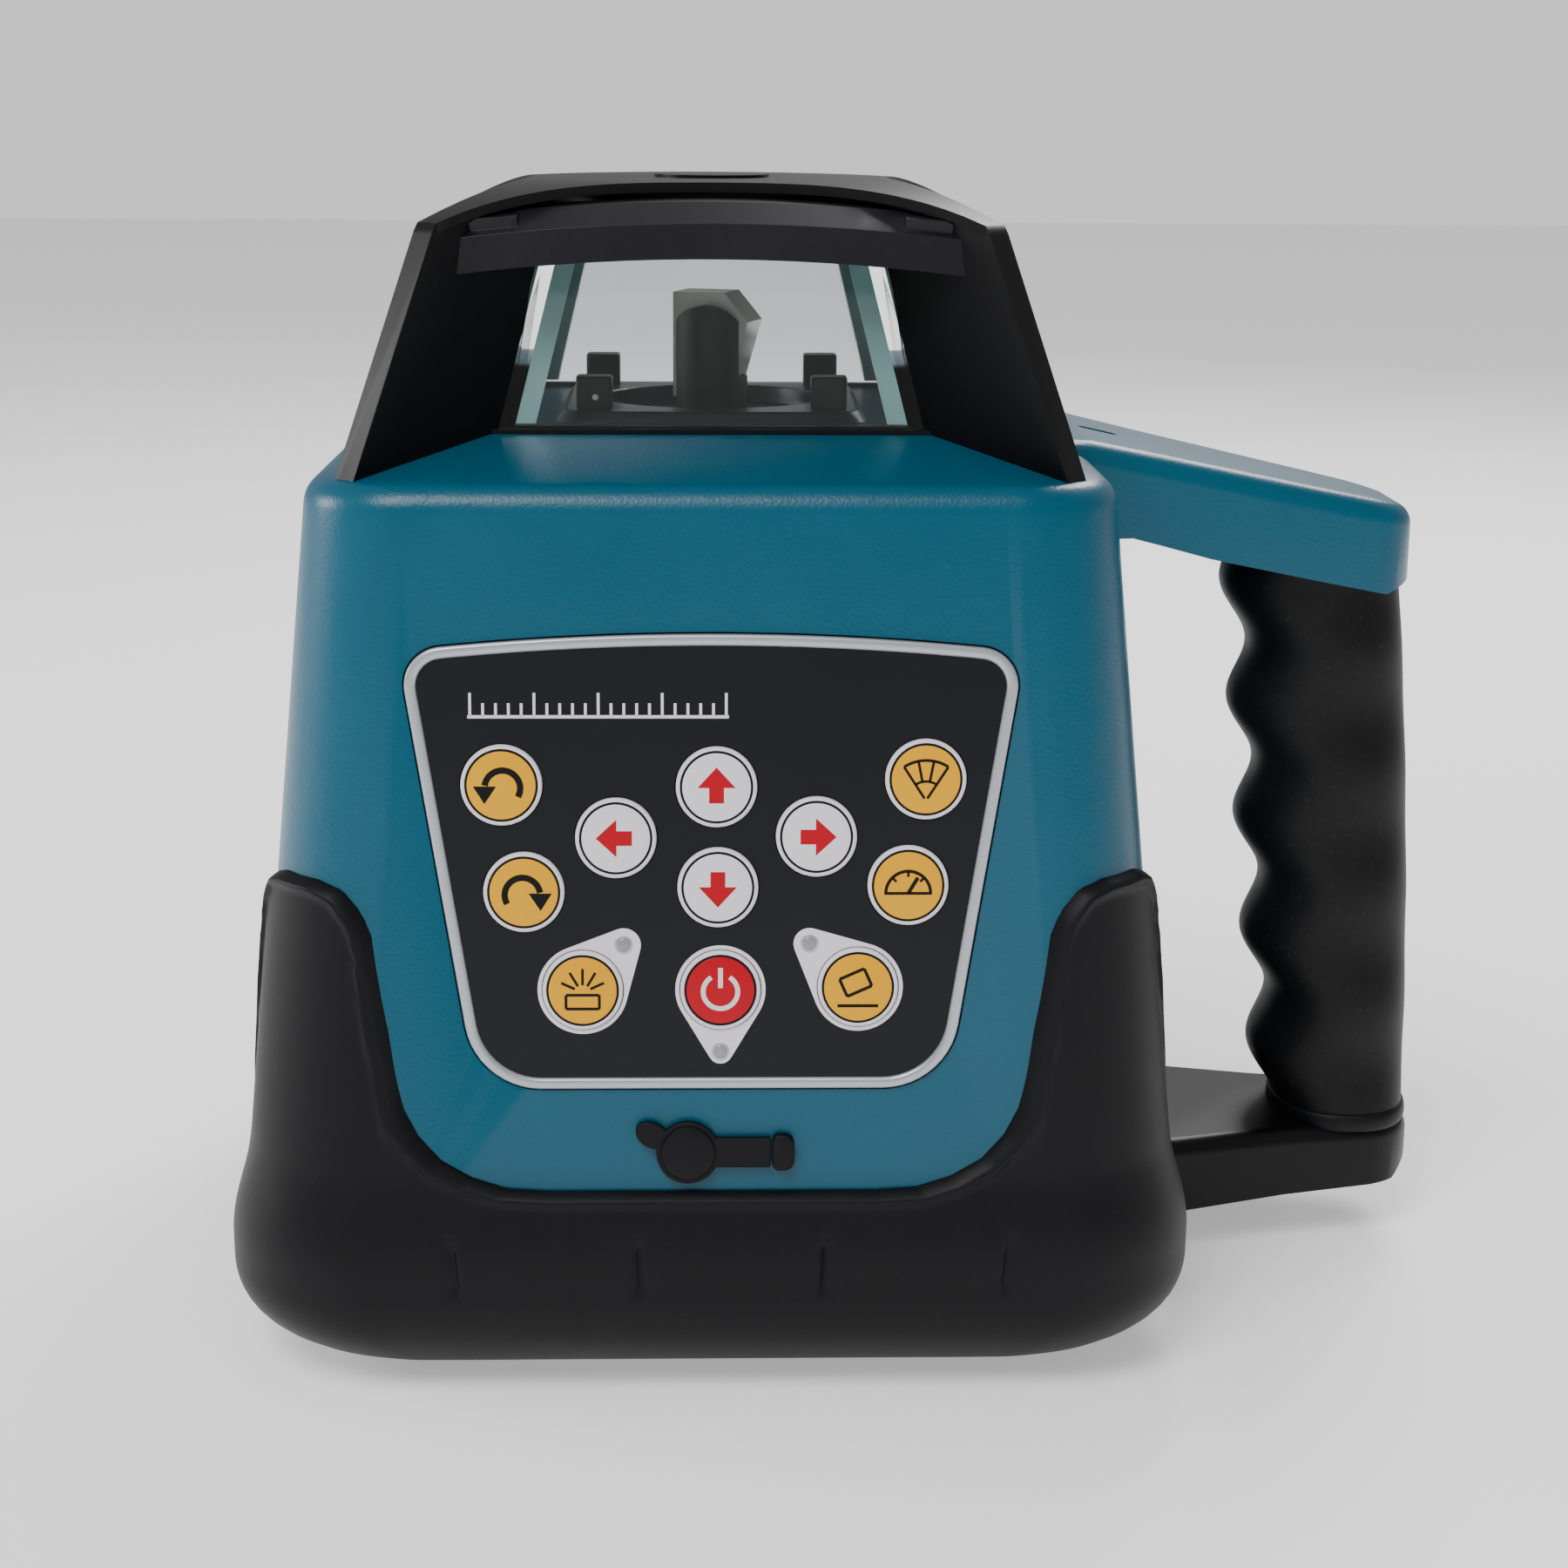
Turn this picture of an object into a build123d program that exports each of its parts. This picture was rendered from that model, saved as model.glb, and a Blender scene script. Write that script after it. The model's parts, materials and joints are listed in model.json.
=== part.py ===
from build123d import *

import math
import os

# A rotary laser level: origin on the rotor axis at the mouth of the tripod thread,
# +Z up, the keypad faces -Y and the handle points along +X. Millimetres.

# Housing: a rounded square that narrows upwards, under a sloping shoulder
BODY_LOW_Z = 14.0
SHOULDER_Z = 144.5
PLATEAU_Z = 150.0
SIDE_SLOPE = 0.095
HALF_AT_MID = 69.5
MID_Z = 86.0
PLATEAU_HALF = 40.0
WALL = 3.0
SHOULDER_ROUND = 5.0

# Rubber boot round the base
BOOT_LOW_Z = 2.0
BOOT_HALF = 79.0
BOOT_WIDE_Z = 21.0
BOOT_EDGE_Z = 35.0
BOOT_PROUD = 1.4
EAR_TOP_Z = 84.0
EAR_GAP_LOW = 46.0
EAR_GAP_TOP = 56.3
EAR_GAP_ROUND = 18.0
EAR_ROUND = 7.0
BOOT_UNDER_ROUND = 16.0

# Base
FOOT_HALF = 60.0
FOOT_THICK = 3.0
TRAY_THICK = 3.0
THREAD_R = 6.8
THREAD_DEEP = 16.0
INSERT_R = 11.0

# Lantern: four diagonal fins under a star-shaped roof
FIN_THICK = 4.6
FIN_FOOT_REACH = 80.6
ROOF_REACH = 63.4
ROOF_Z = 189.4
ROOF_FLAT_R = 28.0
ROOF_ARC_R = 104.0
ROOF_PLATE = 1.6
ROOF_WAIST = 30.0
GLASS_LOW_HALF = 37.5
GLASS_TOP_HALF = 30.5
GLASS_TOP_Z = 178.5
GLASS_THICK = 2.5
VISOR_RIDGE_Z = 183.5
VISOR_LOW_Z = 178.0
VISOR_Y = 42.5
VISOR_HALF = 41.0
VISOR_ARCH_R = 328.0
CEILING_Z = 178.5

# Turret and rotor
TURRET_Z = 152.0
TURRET_HALF = 24.5
RECESS_R = 19.0
ROTOR_HOLE_R = 11.0
ROTOR_R = 6.2
PIVOT_Z = 112.0
BELT_Z = 141.0
MOTOR_SIDE = 17.0
ROTOR_PULLEY_R = 12.0
MOTOR_PULLEY_R = 4.0

# Levelling drive
LEVER_X = 38.0
LEVER_Y = 53.0
SCREW_R = 1.5

# Keypad, on the sloping front: x, and height up the face from MID_Z
KEY_R = 6.3
KEYS = {
    "key_turn_left": (-32.5, 13.6),
    "key_turn_right": (-29.2, -3.2),
    "key_up": (0.7, 13.3),
    "key_left": (-14.9, 5.3),
    "key_right": (16.2, 5.5),
    "key_down": (0.9, -2.5),
    "key_scan": (33.1, 14.5),
    "key_speed": (30.5, -2.2),
    "key_mode": (-20.2, -18.8),
    "key_power": (1.3, -18.8),
    "key_sleep": (22.8, -18.4),
}
LIGHTS = ((-13.8, -11.7), (1.3, -28.8), (15.2, -11.5))
LIGHT_R = 1.2
PANEL_SINK = 2.0
BEZEL_WIDE = 1.8
BEZEL_PROUD = 0.8
MEMBRANE_PROUD = 0.3
KEY_PROUD = 1.0
KEY_GAP = 0.2

# Charge port
PORT = (-3.8, -44.9)
PLUG_R = 5.0
STRAP_END = 9.2
STRAP_WIDE = 4.8
FLAP_THICK = 1.3

# Battery door on the rear
DOOR_HALF = 32.0
DOOR_LOW = -45.0
DOOR_TOP = -5.0
DOOR_THICK = 3.0
DOOR_GAP = 0.5
PIN_R = 1.0
KNOB_R = 8.0
KNOB_S = -15.0

# Handle
ARM_ROUND = 4.0
GRIP_PITCH = 21.6
GRIP_DEEP = 14.0
GRIP_LOW_Z = 21.6
GRIP_TOP_Z = 127.0
CORE_X = 111.0
CORE_R = 6.0

# Inside
DECK_Z = 134.0
DECK_THICK = 3.0
DECK_POSTS = ((44, 44), (-44, 44), (-44, -44), (44, -44))
FOOT_SCREWS = ((48, 48), (-48, 48), (-48, -48), (48, -48))
BOARD_Z = 26.0
BOARD_POSTS = ((40, -44), (-40, -44), (-40, 12), (40, 12))

FRONT = Plane(
    origin=(0, -HALF_AT_MID, MID_Z),
    x_dir=(1, 0, 0),
    z_dir=(0, -1, SIDE_SLOPE),
)
REAR = Plane(
    origin=(0, HALF_AT_MID, MID_Z),
    x_dir=(-1, 0, 0),
    z_dir=(0, 1, SIDE_SLOPE),
)


def half_at(z):
    """Half the housing's width at height z."""
    return HALF_AT_MID + (MID_Z - z) * SIDE_SLOPE


def square(z, half, radius):
    """A rounded square, centred on the axis, at height z."""
    with BuildSketch(Plane.XY.offset(z)) as outline:
        RectangleRounded(2 * half, 2 * half, radius)
    return outline.sketch


def corner_at(z):
    """Corner radius of the housing at height z."""
    return 17.0 + (SHOULDER_Z - z) * 0.02


def wall_block(low, high, grow, mode=Mode.ADD):
    """The housing's tapering block between two heights, grown by an offset."""
    loft(
        [
            square(low, half_at(low) + grow, corner_at(low) + grow),
            square(high, half_at(high) + grow, corner_at(high) + grow),
        ],
        ruled=True,
        mode=mode,
    )


def save(part, name):
    """Label one finished piece and write it."""
    part.label = name
    export_step(part, f"parts/{name}.step")


os.makedirs("parts", exist_ok=True)


def panel_shape(grow):
    """The keypad panel's outline, flat, grown by an offset."""
    with BuildSketch() as outline:
        with BuildLine():
            Polyline((-48.2, 34.3), (-37, -34.7), (37, -34.7), (48.2, 34.3))
            ThreePointArc((48.2, 34.3), (0, 37), (-48.2, 34.3))
        make_face()
        fillet(outline.vertices().group_by(Axis.Y)[0], 12)
        fillet(outline.vertices().filter_by(lambda v: v.Y > 34), 6)
        if grow:
            offset(amount=grow)
    return outline.sketch


# ---------------------------------------------------------------- shared solids
with BuildPart() as body_solid:
    wall_block(BODY_LOW_Z, SHOULDER_Z, 0)
    loft(
        [
            square(SHOULDER_Z, half_at(SHOULDER_Z), corner_at(SHOULDER_Z)),
            square(PLATEAU_Z, PLATEAU_HALF, 9),
        ],
        ruled=True,
    )
    fillet(body_solid.edges().filter_by(lambda e: abs(e.center().Z - SHOULDER_Z) < 0.1), SHOULDER_ROUND)

with BuildPart() as body_hollow:
    wall_block(BODY_LOW_Z, SHOULDER_Z - WALL, -WALL)
    loft(
        [
            square(SHOULDER_Z - WALL, half_at(SHOULDER_Z) - WALL - 0.3, corner_at(SHOULDER_Z) - WALL),
            square(PLATEAU_Z - WALL, PLATEAU_HALF - 1, 8),
        ],
        ruled=True,
    )

with BuildPart() as arm_solid:
    with BuildSketch(Plane.XZ):
        with BuildLine():
            Polyline(
                (50, 148), (63.5, 147.2), (114, 136.2), (121.8, 134.2), (122, 121.6),
                (117, 119.7), (85, 126.8), (71, 130.8), (50, 131), (50, 148),
            )
        make_face()
    extrude(amount=30, both=True)
    with BuildSketch(Plane.XY.offset(110)) as top_view:
        with BuildLine():
            Polyline(
                (50, -27), (63, -25), (76, -21.5), (104, -17), (122.2, -13),
                (122.2, 13), (104, 17), (76, 21.5), (63, 25), (50, 27), (50, -27),
            )
        make_face()
        fillet(top_view.vertices().group_by(Axis.X)[-1], 10)
    extrude(amount=50, mode=Mode.INTERSECT)

    over = arm_solid.edges().filter_by(lambda e: e.center().X > 51 and e.center().Z > 133.5)
    over = over.filter_by(lambda e: abs(e.tangent_at(0.5).Z) < 0.6)
    fillet(over.filter_by(lambda e: abs(e.tangent_at(0.5).Y) < 0.9 or e.center().X > 121), ARM_ROUND)

with BuildPart() as lower_arm:
    with BuildSketch(Plane.XZ):
        with BuildLine():
            Polyline((64, 8.4), (85, 8.4), (125, 10.4), (128.6, 14), (128.6, 21.6), (64, 21.6), (64, 8.4))
        make_face()
    extrude(amount=30, both=True)
    with BuildSketch(Plane.XY) as top_view:
        with BuildLine():
            Polyline(
                (64, -24), (83, -22), (104, -16.5), (128.6, -12.5),
                (128.6, 12.5), (104, 16.5), (83, 22), (64, 24), (64, -24),
            )
        make_face()
        fillet(top_view.vertices().group_by(Axis.X)[-1], 11)
    extrude(amount=50, mode=Mode.INTERSECT)
    add(body_solid.part, mode=Mode.SUBTRACT)
    fillet(lower_arm.edges().filter_by(lambda e: e.center().Z > 21.59 and e.center().X > 77), 3)

with BuildPart() as core_solid:
    with BuildSketch(Plane.XY.offset(13)):
        with Locations((CORE_X, 0)):
            Circle(CORE_R)
    extrude(amount=115)

with BuildPart() as handle_screw:
    with BuildSketch(Plane.XY.offset(9)):
        with Locations((CORE_X, 0)):
            Circle(3.2)
            RegularPolygon(1.5, 6, mode=Mode.SUBTRACT)
    extrude(amount=2.4)
    with BuildSketch(Plane.XY.offset(11.4)):
        with Locations((CORE_X, 0)):
            Circle(1.8)
    extrude(amount=14)
save(handle_screw.part, "handle_screw")

DOOR_MID = (DOOR_LOW + DOOR_TOP) / 2
DOOR_TALL = DOOR_TOP - DOOR_LOW
HINGE_S = DOOR_LOW + 1.5
HINGE = Plane(
    REAR.from_local_coords((-DOOR_HALF - 3, HINGE_S, -1.5)),
    x_dir=(0, 0, 1),
    z_dir=(-1, 0, 0),
)
with BuildPart() as hinge_pin:
    with BuildSketch(HINGE):
        Circle(PIN_R)
    extrude(amount=2 * DOOR_HALF + 6)

# ---------------------------------------------------------------- housing shell
with BuildPart() as housing_shell:
    add(body_solid.part)
    add(arm_solid.part)
    add(body_hollow.part, mode=Mode.SUBTRACT)
    with BuildSketch(Plane.XY.offset(PLATEAU_Z - WALL - 3)):
        RectangleRounded(46, 46, 6)
    extrude(amount=12, mode=Mode.SUBTRACT)
    with BuildSketch(FRONT.offset(-PANEL_SINK)):
        add(panel_shape(0.3))
    extrude(amount=8, mode=Mode.SUBTRACT)
    with BuildSketch(FRONT.offset(-WALL - 4)):
        add(panel_shape(-3.5))
    extrude(amount=12, mode=Mode.SUBTRACT)
    with BuildSketch(FRONT.offset(-10)):
        with Locations(PORT):
            Circle(4.6)
        with Locations((11.2, PORT[1])):
            Circle(1.2)
    extrude(amount=20, mode=Mode.SUBTRACT)
    with BuildSketch(REAR.offset(-10)):
        with Locations((0, DOOR_MID)):
            RectangleRounded(2 * (DOOR_HALF + DOOR_GAP), DOOR_TALL + 2 * DOOR_GAP, 3)
    extrude(amount=20, mode=Mode.SUBTRACT)
    with BuildSketch(Plane.XY.offset(DECK_Z + DECK_THICK)):
        with Locations(*DECK_POSTS):
            Circle(4)
    extrude(amount=8)
    with BuildSketch(Plane.XY.offset(145.2)):
        with Locations((67.5, 0)):
            SlotOverall(7, 3.2)
    extrude(amount=5, mode=Mode.SUBTRACT)
    add(hinge_pin.part, mode=Mode.SUBTRACT)
    add(core_solid.part, mode=Mode.SUBTRACT)
save(housing_shell.part, "housing_shell")
save(hinge_pin.part, "door_hinge_pin")

with BuildPart() as turret_cover:
    loft([square(PLATEAU_Z, 26, 5), square(TURRET_Z, TURRET_HALF, 5)], ruled=True)
    extrude(square(PLATEAU_Z - 3, 22.6, 5.6), amount=3)
    with BuildSketch(Plane.XY.offset(149)):
        Circle(RECESS_R)
    extrude(amount=5, mode=Mode.SUBTRACT)
    with BuildSketch(Plane.XY.offset(140)):
        Circle(ROTOR_HOLE_R)
    extrude(amount=20, mode=Mode.SUBTRACT)
save(turret_cover.part, "turret_cover")

with BuildPart() as sensor_posts:
    with BuildSketch(Plane.XY.offset(TURRET_Z)):
        with GridLocations(39, 40, 2, 2):
            RectangleRounded(6, 5, 0.8)
    extrude(amount=5.5)
save(sensor_posts.part, "sensor_posts")

# ---------------------------------------------------------------- base
with BuildPart() as foot_plate:
    with BuildSketch():
        RectangleRounded(2 * FOOT_HALF, 2 * FOOT_HALF, 14)
        Circle(INSERT_R, mode=Mode.SUBTRACT)
    extrude(amount=FOOT_THICK)
    with BuildSketch():
        with Locations(*FOOT_SCREWS):
            Circle(3.2)
    extrude(amount=2.4, mode=Mode.SUBTRACT)
    with BuildSketch():
        with Locations(*FOOT_SCREWS):
            Circle(1.5)
    extrude(amount=FOOT_THICK, mode=Mode.SUBTRACT)
save(foot_plate.part, "foot_plate")

with BuildPart() as foot_screws:
    with BuildSketch(Plane.XY.offset(0.7)):
        with Locations(*FOOT_SCREWS):
            Circle(3)
            RegularPolygon(1.4, 6, mode=Mode.SUBTRACT)
    extrude(amount=1.7)
    with BuildSketch(Plane.XY.offset(2.4)):
        with Locations(*FOOT_SCREWS):
            Circle(1.5)
    extrude(amount=8)
save(foot_screws.part, "foot_screws")

with BuildPart() as tripod_insert:
    with BuildSketch():
        Circle(INSERT_R)
    extrude(amount=THREAD_DEEP + 2)
    with BuildSketch():
        Circle(THREAD_R)
    extrude(amount=THREAD_DEEP, mode=Mode.SUBTRACT)
save(tripod_insert.part, "tripod_insert")

with BuildPart() as base_tray:
    loft([square(FOOT_THICK, 61, 15), square(BODY_LOW_Z, 72, 19)], ruled=True)
    loft(
        [square(FOOT_THICK + TRAY_THICK, 59, 13), square(BODY_LOW_Z, 69, 16)],
        ruled=True,
        mode=Mode.SUBTRACT,
    )
    with BuildSketch(Plane.XY.offset(FOOT_THICK)):
        Circle(INSERT_R + 3)
        with Locations(*FOOT_SCREWS):
            Circle(4)
    extrude(amount=9)
    with BuildSketch(Plane.XY.offset(FOOT_THICK)):
        with Locations(*BOARD_POSTS):
            Circle(3)
    extrude(amount=BOARD_Z - FOOT_THICK)
    add(lower_arm.part)
    with BuildSketch(Plane.XY):
        with Locations(*FOOT_SCREWS):
            Circle(1.5)
    extrude(amount=11, mode=Mode.SUBTRACT)
    with BuildSketch(Plane.XY):
        Circle(INSERT_R)
    extrude(amount=40, mode=Mode.SUBTRACT)
    with BuildSketch(Plane.XY):
        with Locations((CORE_X, 0)):
            Circle(3.2)
    extrude(amount=11.4, mode=Mode.SUBTRACT)
    with BuildSketch(Plane.XY):
        with Locations((CORE_X, 0)):
            Circle(1.8)
    extrude(amount=14, mode=Mode.SUBTRACT)
    add(core_solid.part, mode=Mode.SUBTRACT)
save(base_tray.part, "base_tray")

with BuildSketch(Plane.XZ) as ear_gap:
    with BuildLine():
        Polyline(
            (-EAR_GAP_LOW, BOOT_EDGE_Z), (-EAR_GAP_TOP, EAR_TOP_Z), (-75, EAR_TOP_Z), (-75, 90),
            (75, 90), (75, EAR_TOP_Z), (EAR_GAP_TOP, EAR_TOP_Z), (EAR_GAP_LOW, BOOT_EDGE_Z),
            (-EAR_GAP_LOW, BOOT_EDGE_Z),
        )
    make_face()
    fillet(ear_gap.vertices().group_by(Axis.Y)[0], EAR_GAP_ROUND)
    fillet(ear_gap.vertices().filter_by(lambda v: abs(v.Y - EAR_TOP_Z) < 0.1 and abs(v.X) < 70), EAR_ROUND)
ear_cutter = extrude(ear_gap.sketch, amount=100, both=True)

with BuildPart() as rubber_boot:
    extrude(square(BOOT_LOW_Z, BOOT_HALF, 24), amount=BOOT_WIDE_Z - BOOT_LOW_Z)
    fillet(rubber_boot.edges().group_by(Axis.Z)[0], BOOT_UNDER_ROUND)
    boot_top = half_at(BOOT_EDGE_Z) + BOOT_PROUD
    loft([square(BOOT_WIDE_Z, BOOT_HALF, 24), square(BOOT_EDGE_Z, boot_top, 20)], ruled=True)
    wall_block(BOOT_EDGE_Z, EAR_TOP_Z, BOOT_PROUD)
    for turn in (0, 90):
        add(ear_cutter.rotate(Axis.Z, turn), mode=Mode.SUBTRACT)
    add(body_solid.part, mode=Mode.SUBTRACT)
    add(base_tray.part, mode=Mode.SUBTRACT)
    extrude(square(BOOT_LOW_Z - 1, FOOT_HALF, 14), amount=2, mode=Mode.SUBTRACT)
    loft([square(FOOT_THICK, 61, 15), square(BODY_LOW_Z, 72, 19)], ruled=True, mode=Mode.SUBTRACT)
    extrude(square(BODY_LOW_Z, 70, 16), amount=60, mode=Mode.SUBTRACT)
save(rubber_boot.part, "rubber_boot")


def grip_section(z):
    """The grip's outline at height z: an ellipse between the wavy finger side and the smooth side."""
    wave = 2.05 * math.cos(2 * math.pi * (z - 76.6) / GRIP_PITCH)
    inner = 96.95 + 0.103 * (76.6 - z) - wave
    outer = 125.6 + 0.068 * (77 - z) - 0.0005 * (77 - z) ** 2
    with BuildSketch(Plane.XY.offset(z)) as outline:
        with Locations(((inner + outer) / 2, 0)):
            Ellipse((outer - inner) / 2, GRIP_DEEP)
    return outline.sketch


with BuildPart() as handle_grip:
    steps = 20
    rise = (GRIP_TOP_Z - GRIP_LOW_Z) / steps
    loft([grip_section(GRIP_LOW_Z + i * rise) for i in range(steps + 1)])
    add(arm_solid.part, mode=Mode.SUBTRACT)
    add(core_solid.part, mode=Mode.SUBTRACT)
save(handle_grip.part, "handle_grip")

with BuildPart() as handle_core:
    add(core_solid.part)
    with BuildSketch(Plane.XY.offset(13)):
        with Locations((CORE_X, 0)):
            Circle(1.8)
    extrude(amount=12.4, mode=Mode.SUBTRACT)
save(handle_core.part, "handle_core")

# ---------------------------------------------------------------- lantern
with BuildPart() as dome_solid:
    with BuildSketch(Plane.XZ):
        with BuildLine():
            low = ROOF_Z - ROOF_ARC_R + math.sqrt(ROOF_ARC_R**2 - (70 - ROOF_FLAT_R) ** 2)
            mid = ROOF_Z - ROOF_ARC_R + math.sqrt(ROOF_ARC_R**2 - (50 - ROOF_FLAT_R) ** 2)
            Polyline((ROOF_FLAT_R, ROOF_Z), (0, ROOF_Z), (0, 130), (95, 130), (95, 140), (70, low))
            ThreePointArc((70, low), (50, mid), (ROOF_FLAT_R, ROOF_Z))
        make_face()
    revolve(axis=Axis.Z)
under_dome = dome_solid.part.moved(Location((0, 0, -ROOF_PLATE)))

with BuildPart() as roof_star:
    with BuildSketch(Plane.XY.offset(170)) as star:
        with BuildLine():
            for turn in range(4):
                side = [(-42.5, -45.8), (0, -ROOF_WAIST), (42.5, -45.8), (45.8, -42.5)]
                start, waist, end, corner = [Vector(*p).rotate(Axis.Z, 90 * turn) for p in side]
                ThreePointArc(start, waist, end)
                Line(end, corner)
        make_face()
    extrude(amount=30)
    add(dome_solid.part, mode=Mode.INTERSECT)
    add(under_dome, mode=Mode.SUBTRACT)

with BuildSketch(Plane.XZ) as fin:
    with BuildLine():
        Polyline(
            (49.6, 146), (FIN_FOOT_REACH + 1, 142), (ROOF_REACH, 182.2), (60, 187.5),
            (40, 187.5), (42.2, GLASS_TOP_Z), (49.6, 146),
        )
    make_face()
    fillet(fin.vertices().filter_by(lambda v: v.X > 63 and v.Y > 150), 4)
fin_plate = extrude(fin.sketch, amount=FIN_THICK / 2, both=True)

with BuildPart() as lantern_frame:
    for turn in (45, 135, 225, 315):
        add(fin_plate.rotate(Axis.Z, turn))
    add(dome_solid.part, mode=Mode.INTERSECT)
    add(roof_star.part)
    with BuildSketch(Plane.XY.offset(ROOF_Z - 0.5)):
        Circle(9.8)
    extrude(amount=1.0)
    add(body_solid.part, mode=Mode.SUBTRACT)
save(lantern_frame.part, "lantern_frame")

with BuildPart() as visor:
    with BuildSketch(Plane.YZ):
        with BuildLine():
            Polyline(
                (-30.5, 187.0), (-37, 186.6), (-VISOR_Y, VISOR_RIDGE_Z),
                (-VISOR_Y - 0.7, VISOR_LOW_Z), (-VISOR_Y + 1.3, VISOR_LOW_Z),
                (-VISOR_Y + 2.2, VISOR_RIDGE_Z - 2), (-30.5, 184.5), (-30.5, 187.0),
            )
        make_face()
    axis = Axis((0, 0, VISOR_RIDGE_Z - VISOR_ARCH_R), (0, 1, 0))
    revolve(axis=axis, revolution_arc=math.degrees(math.asin(VISOR_HALF / VISOR_ARCH_R)))
    mirror(about=Plane.YZ)

with BuildPart() as roof_cap:
    for turn in range(4):
        add(visor.part.rotate(Axis.Z, 90 * turn))
    extrude(square(CEILING_Z, 41.2, 4), amount=2)
    with BuildSketch(Plane.XY.offset(CEILING_Z + 2)):
        Circle(28)
        Circle(24, mode=Mode.SUBTRACT)
    extrude(amount=ROOF_Z - ROOF_PLATE - CEILING_Z - 2)
    add(lantern_frame.part, mode=Mode.SUBTRACT)
    add(under_dome, mode=Mode.INTERSECT)
save(roof_cap.part, "roof_cap")

with BuildPart() as window_panes:
    loft([square(PLATEAU_Z + 0.8, GLASS_LOW_HALF, 0.5), square(GLASS_TOP_Z, GLASS_TOP_HALF, 0.5)], ruled=True)
    loft(
        [
            square(PLATEAU_Z + 0.8, GLASS_LOW_HALF - GLASS_THICK, 0.5),
            square(GLASS_TOP_Z, GLASS_TOP_HALF - GLASS_THICK, 0.5),
        ],
        ruled=True,
        mode=Mode.SUBTRACT,
    )
    with BuildSketch(Plane.XY.offset(140)):
        Rectangle(FIN_THICK, 200, rotation=45)
        Rectangle(FIN_THICK, 200, rotation=-45)
    extrude(amount=50, mode=Mode.SUBTRACT)
save(window_panes.part, "window_panes")

with BuildPart() as window_seal:
    with BuildSketch(Plane.XY.offset(PLATEAU_Z)):
        RectangleRounded(77, 77, 2)
        RectangleRounded(67, 67, 2, mode=Mode.SUBTRACT)
    extrude(amount=0.8)
    add(lantern_frame.part, mode=Mode.SUBTRACT)
save(window_seal.part, "window_seal")

# ---------------------------------------------------------------- keypad
with BuildPart() as keypad_bezel:
    with BuildSketch(FRONT.offset(-PANEL_SINK)):
        add(panel_shape(0))
        add(panel_shape(-BEZEL_WIDE), mode=Mode.SUBTRACT)
    extrude(amount=PANEL_SINK + BEZEL_PROUD)
save(keypad_bezel.part, "keypad_bezel")

with BuildPart() as keypad_membrane:
    with BuildSketch(FRONT.offset(-PANEL_SINK)):
        add(panel_shape(-BEZEL_WIDE))
        with Locations(*KEYS.values()):
            Circle(KEY_R + KEY_GAP, mode=Mode.SUBTRACT)
        with Locations(*LIGHTS):
            Circle(LIGHT_R, mode=Mode.SUBTRACT)
    extrude(amount=PANEL_SINK + MEMBRANE_PROUD)
save(keypad_membrane.part, "keypad_membrane")

for key_name, place in KEYS.items():
    with BuildPart() as key:
        with BuildSketch(FRONT.offset(-3.6)):
            with Locations(place):
                Circle(KEY_R + 0.9)
        extrude(amount=1.2)
        with BuildSketch(FRONT.offset(-2.4)):
            with Locations(place):
                Circle(KEY_R)
        extrude(amount=2.4 + KEY_PROUD)
    save(key.part, key_name)

with BuildPart() as keypad_board:
    with BuildSketch(FRONT.offset(-6.1)):
        add(panel_shape(-5))
    extrude(amount=1.6)
save(keypad_board.part, "keypad_board")

with BuildPart() as status_lights:
    with BuildSketch(FRONT.offset(-4.5)):
        with Locations(*LIGHTS):
            Circle(LIGHT_R)
    extrude(amount=4.5 + 0.5)
save(status_lights.part, "status_lights")

# ---------------------------------------------------------------- charge port
with BuildPart() as charge_jack:
    with BuildSketch(FRONT.offset(-11)):
        with Locations(PORT):
            Circle(4.6)
    extrude(amount=11)
    with BuildSketch(FRONT.offset(-9)):
        with Locations(PORT):
            Circle(3.0)
            Circle(1.0, mode=Mode.SUBTRACT)
    extrude(amount=9, mode=Mode.SUBTRACT)
    with BuildSketch(FRONT.offset(-2.6)):
        with Locations(PORT):
            Circle(3.0)
    extrude(amount=3, mode=Mode.SUBTRACT)
save(charge_jack.part, "charge_jack")

strap_mid = (PORT[0] + STRAP_END) / 2
with BuildPart() as port_flap:
    with BuildSketch(FRONT.offset(0.2)):
        with Locations(PORT):
            Circle(PLUG_R)
        with Locations((strap_mid, PORT[1])):
            Rectangle(STRAP_END - PORT[0], STRAP_WIDE)
        with Locations((PORT[0] - 5.6, PORT[1] + 2.8)):
            Ellipse(2.8, 2.0, rotation=-28)
    extrude(amount=FLAP_THICK)
    with BuildSketch(FRONT.offset(-1.8)):
        with Locations(PORT):
            Circle(2.3)
    extrude(amount=2.0)
save(port_flap.part, "port_flap")

with BuildPart() as flap_anchor:
    with BuildSketch(FRONT.offset(0)):
        with Locations((11.2, PORT[1])):
            RectangleRounded(2.4, 5.4, 0.8)
    extrude(amount=0.2 + FLAP_THICK)
    with BuildSketch(FRONT.offset(-4)):
        with Locations((11.2, PORT[1])):
            Circle(1.2)
    extrude(amount=4)
save(flap_anchor.part, "flap_anchor")

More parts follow.
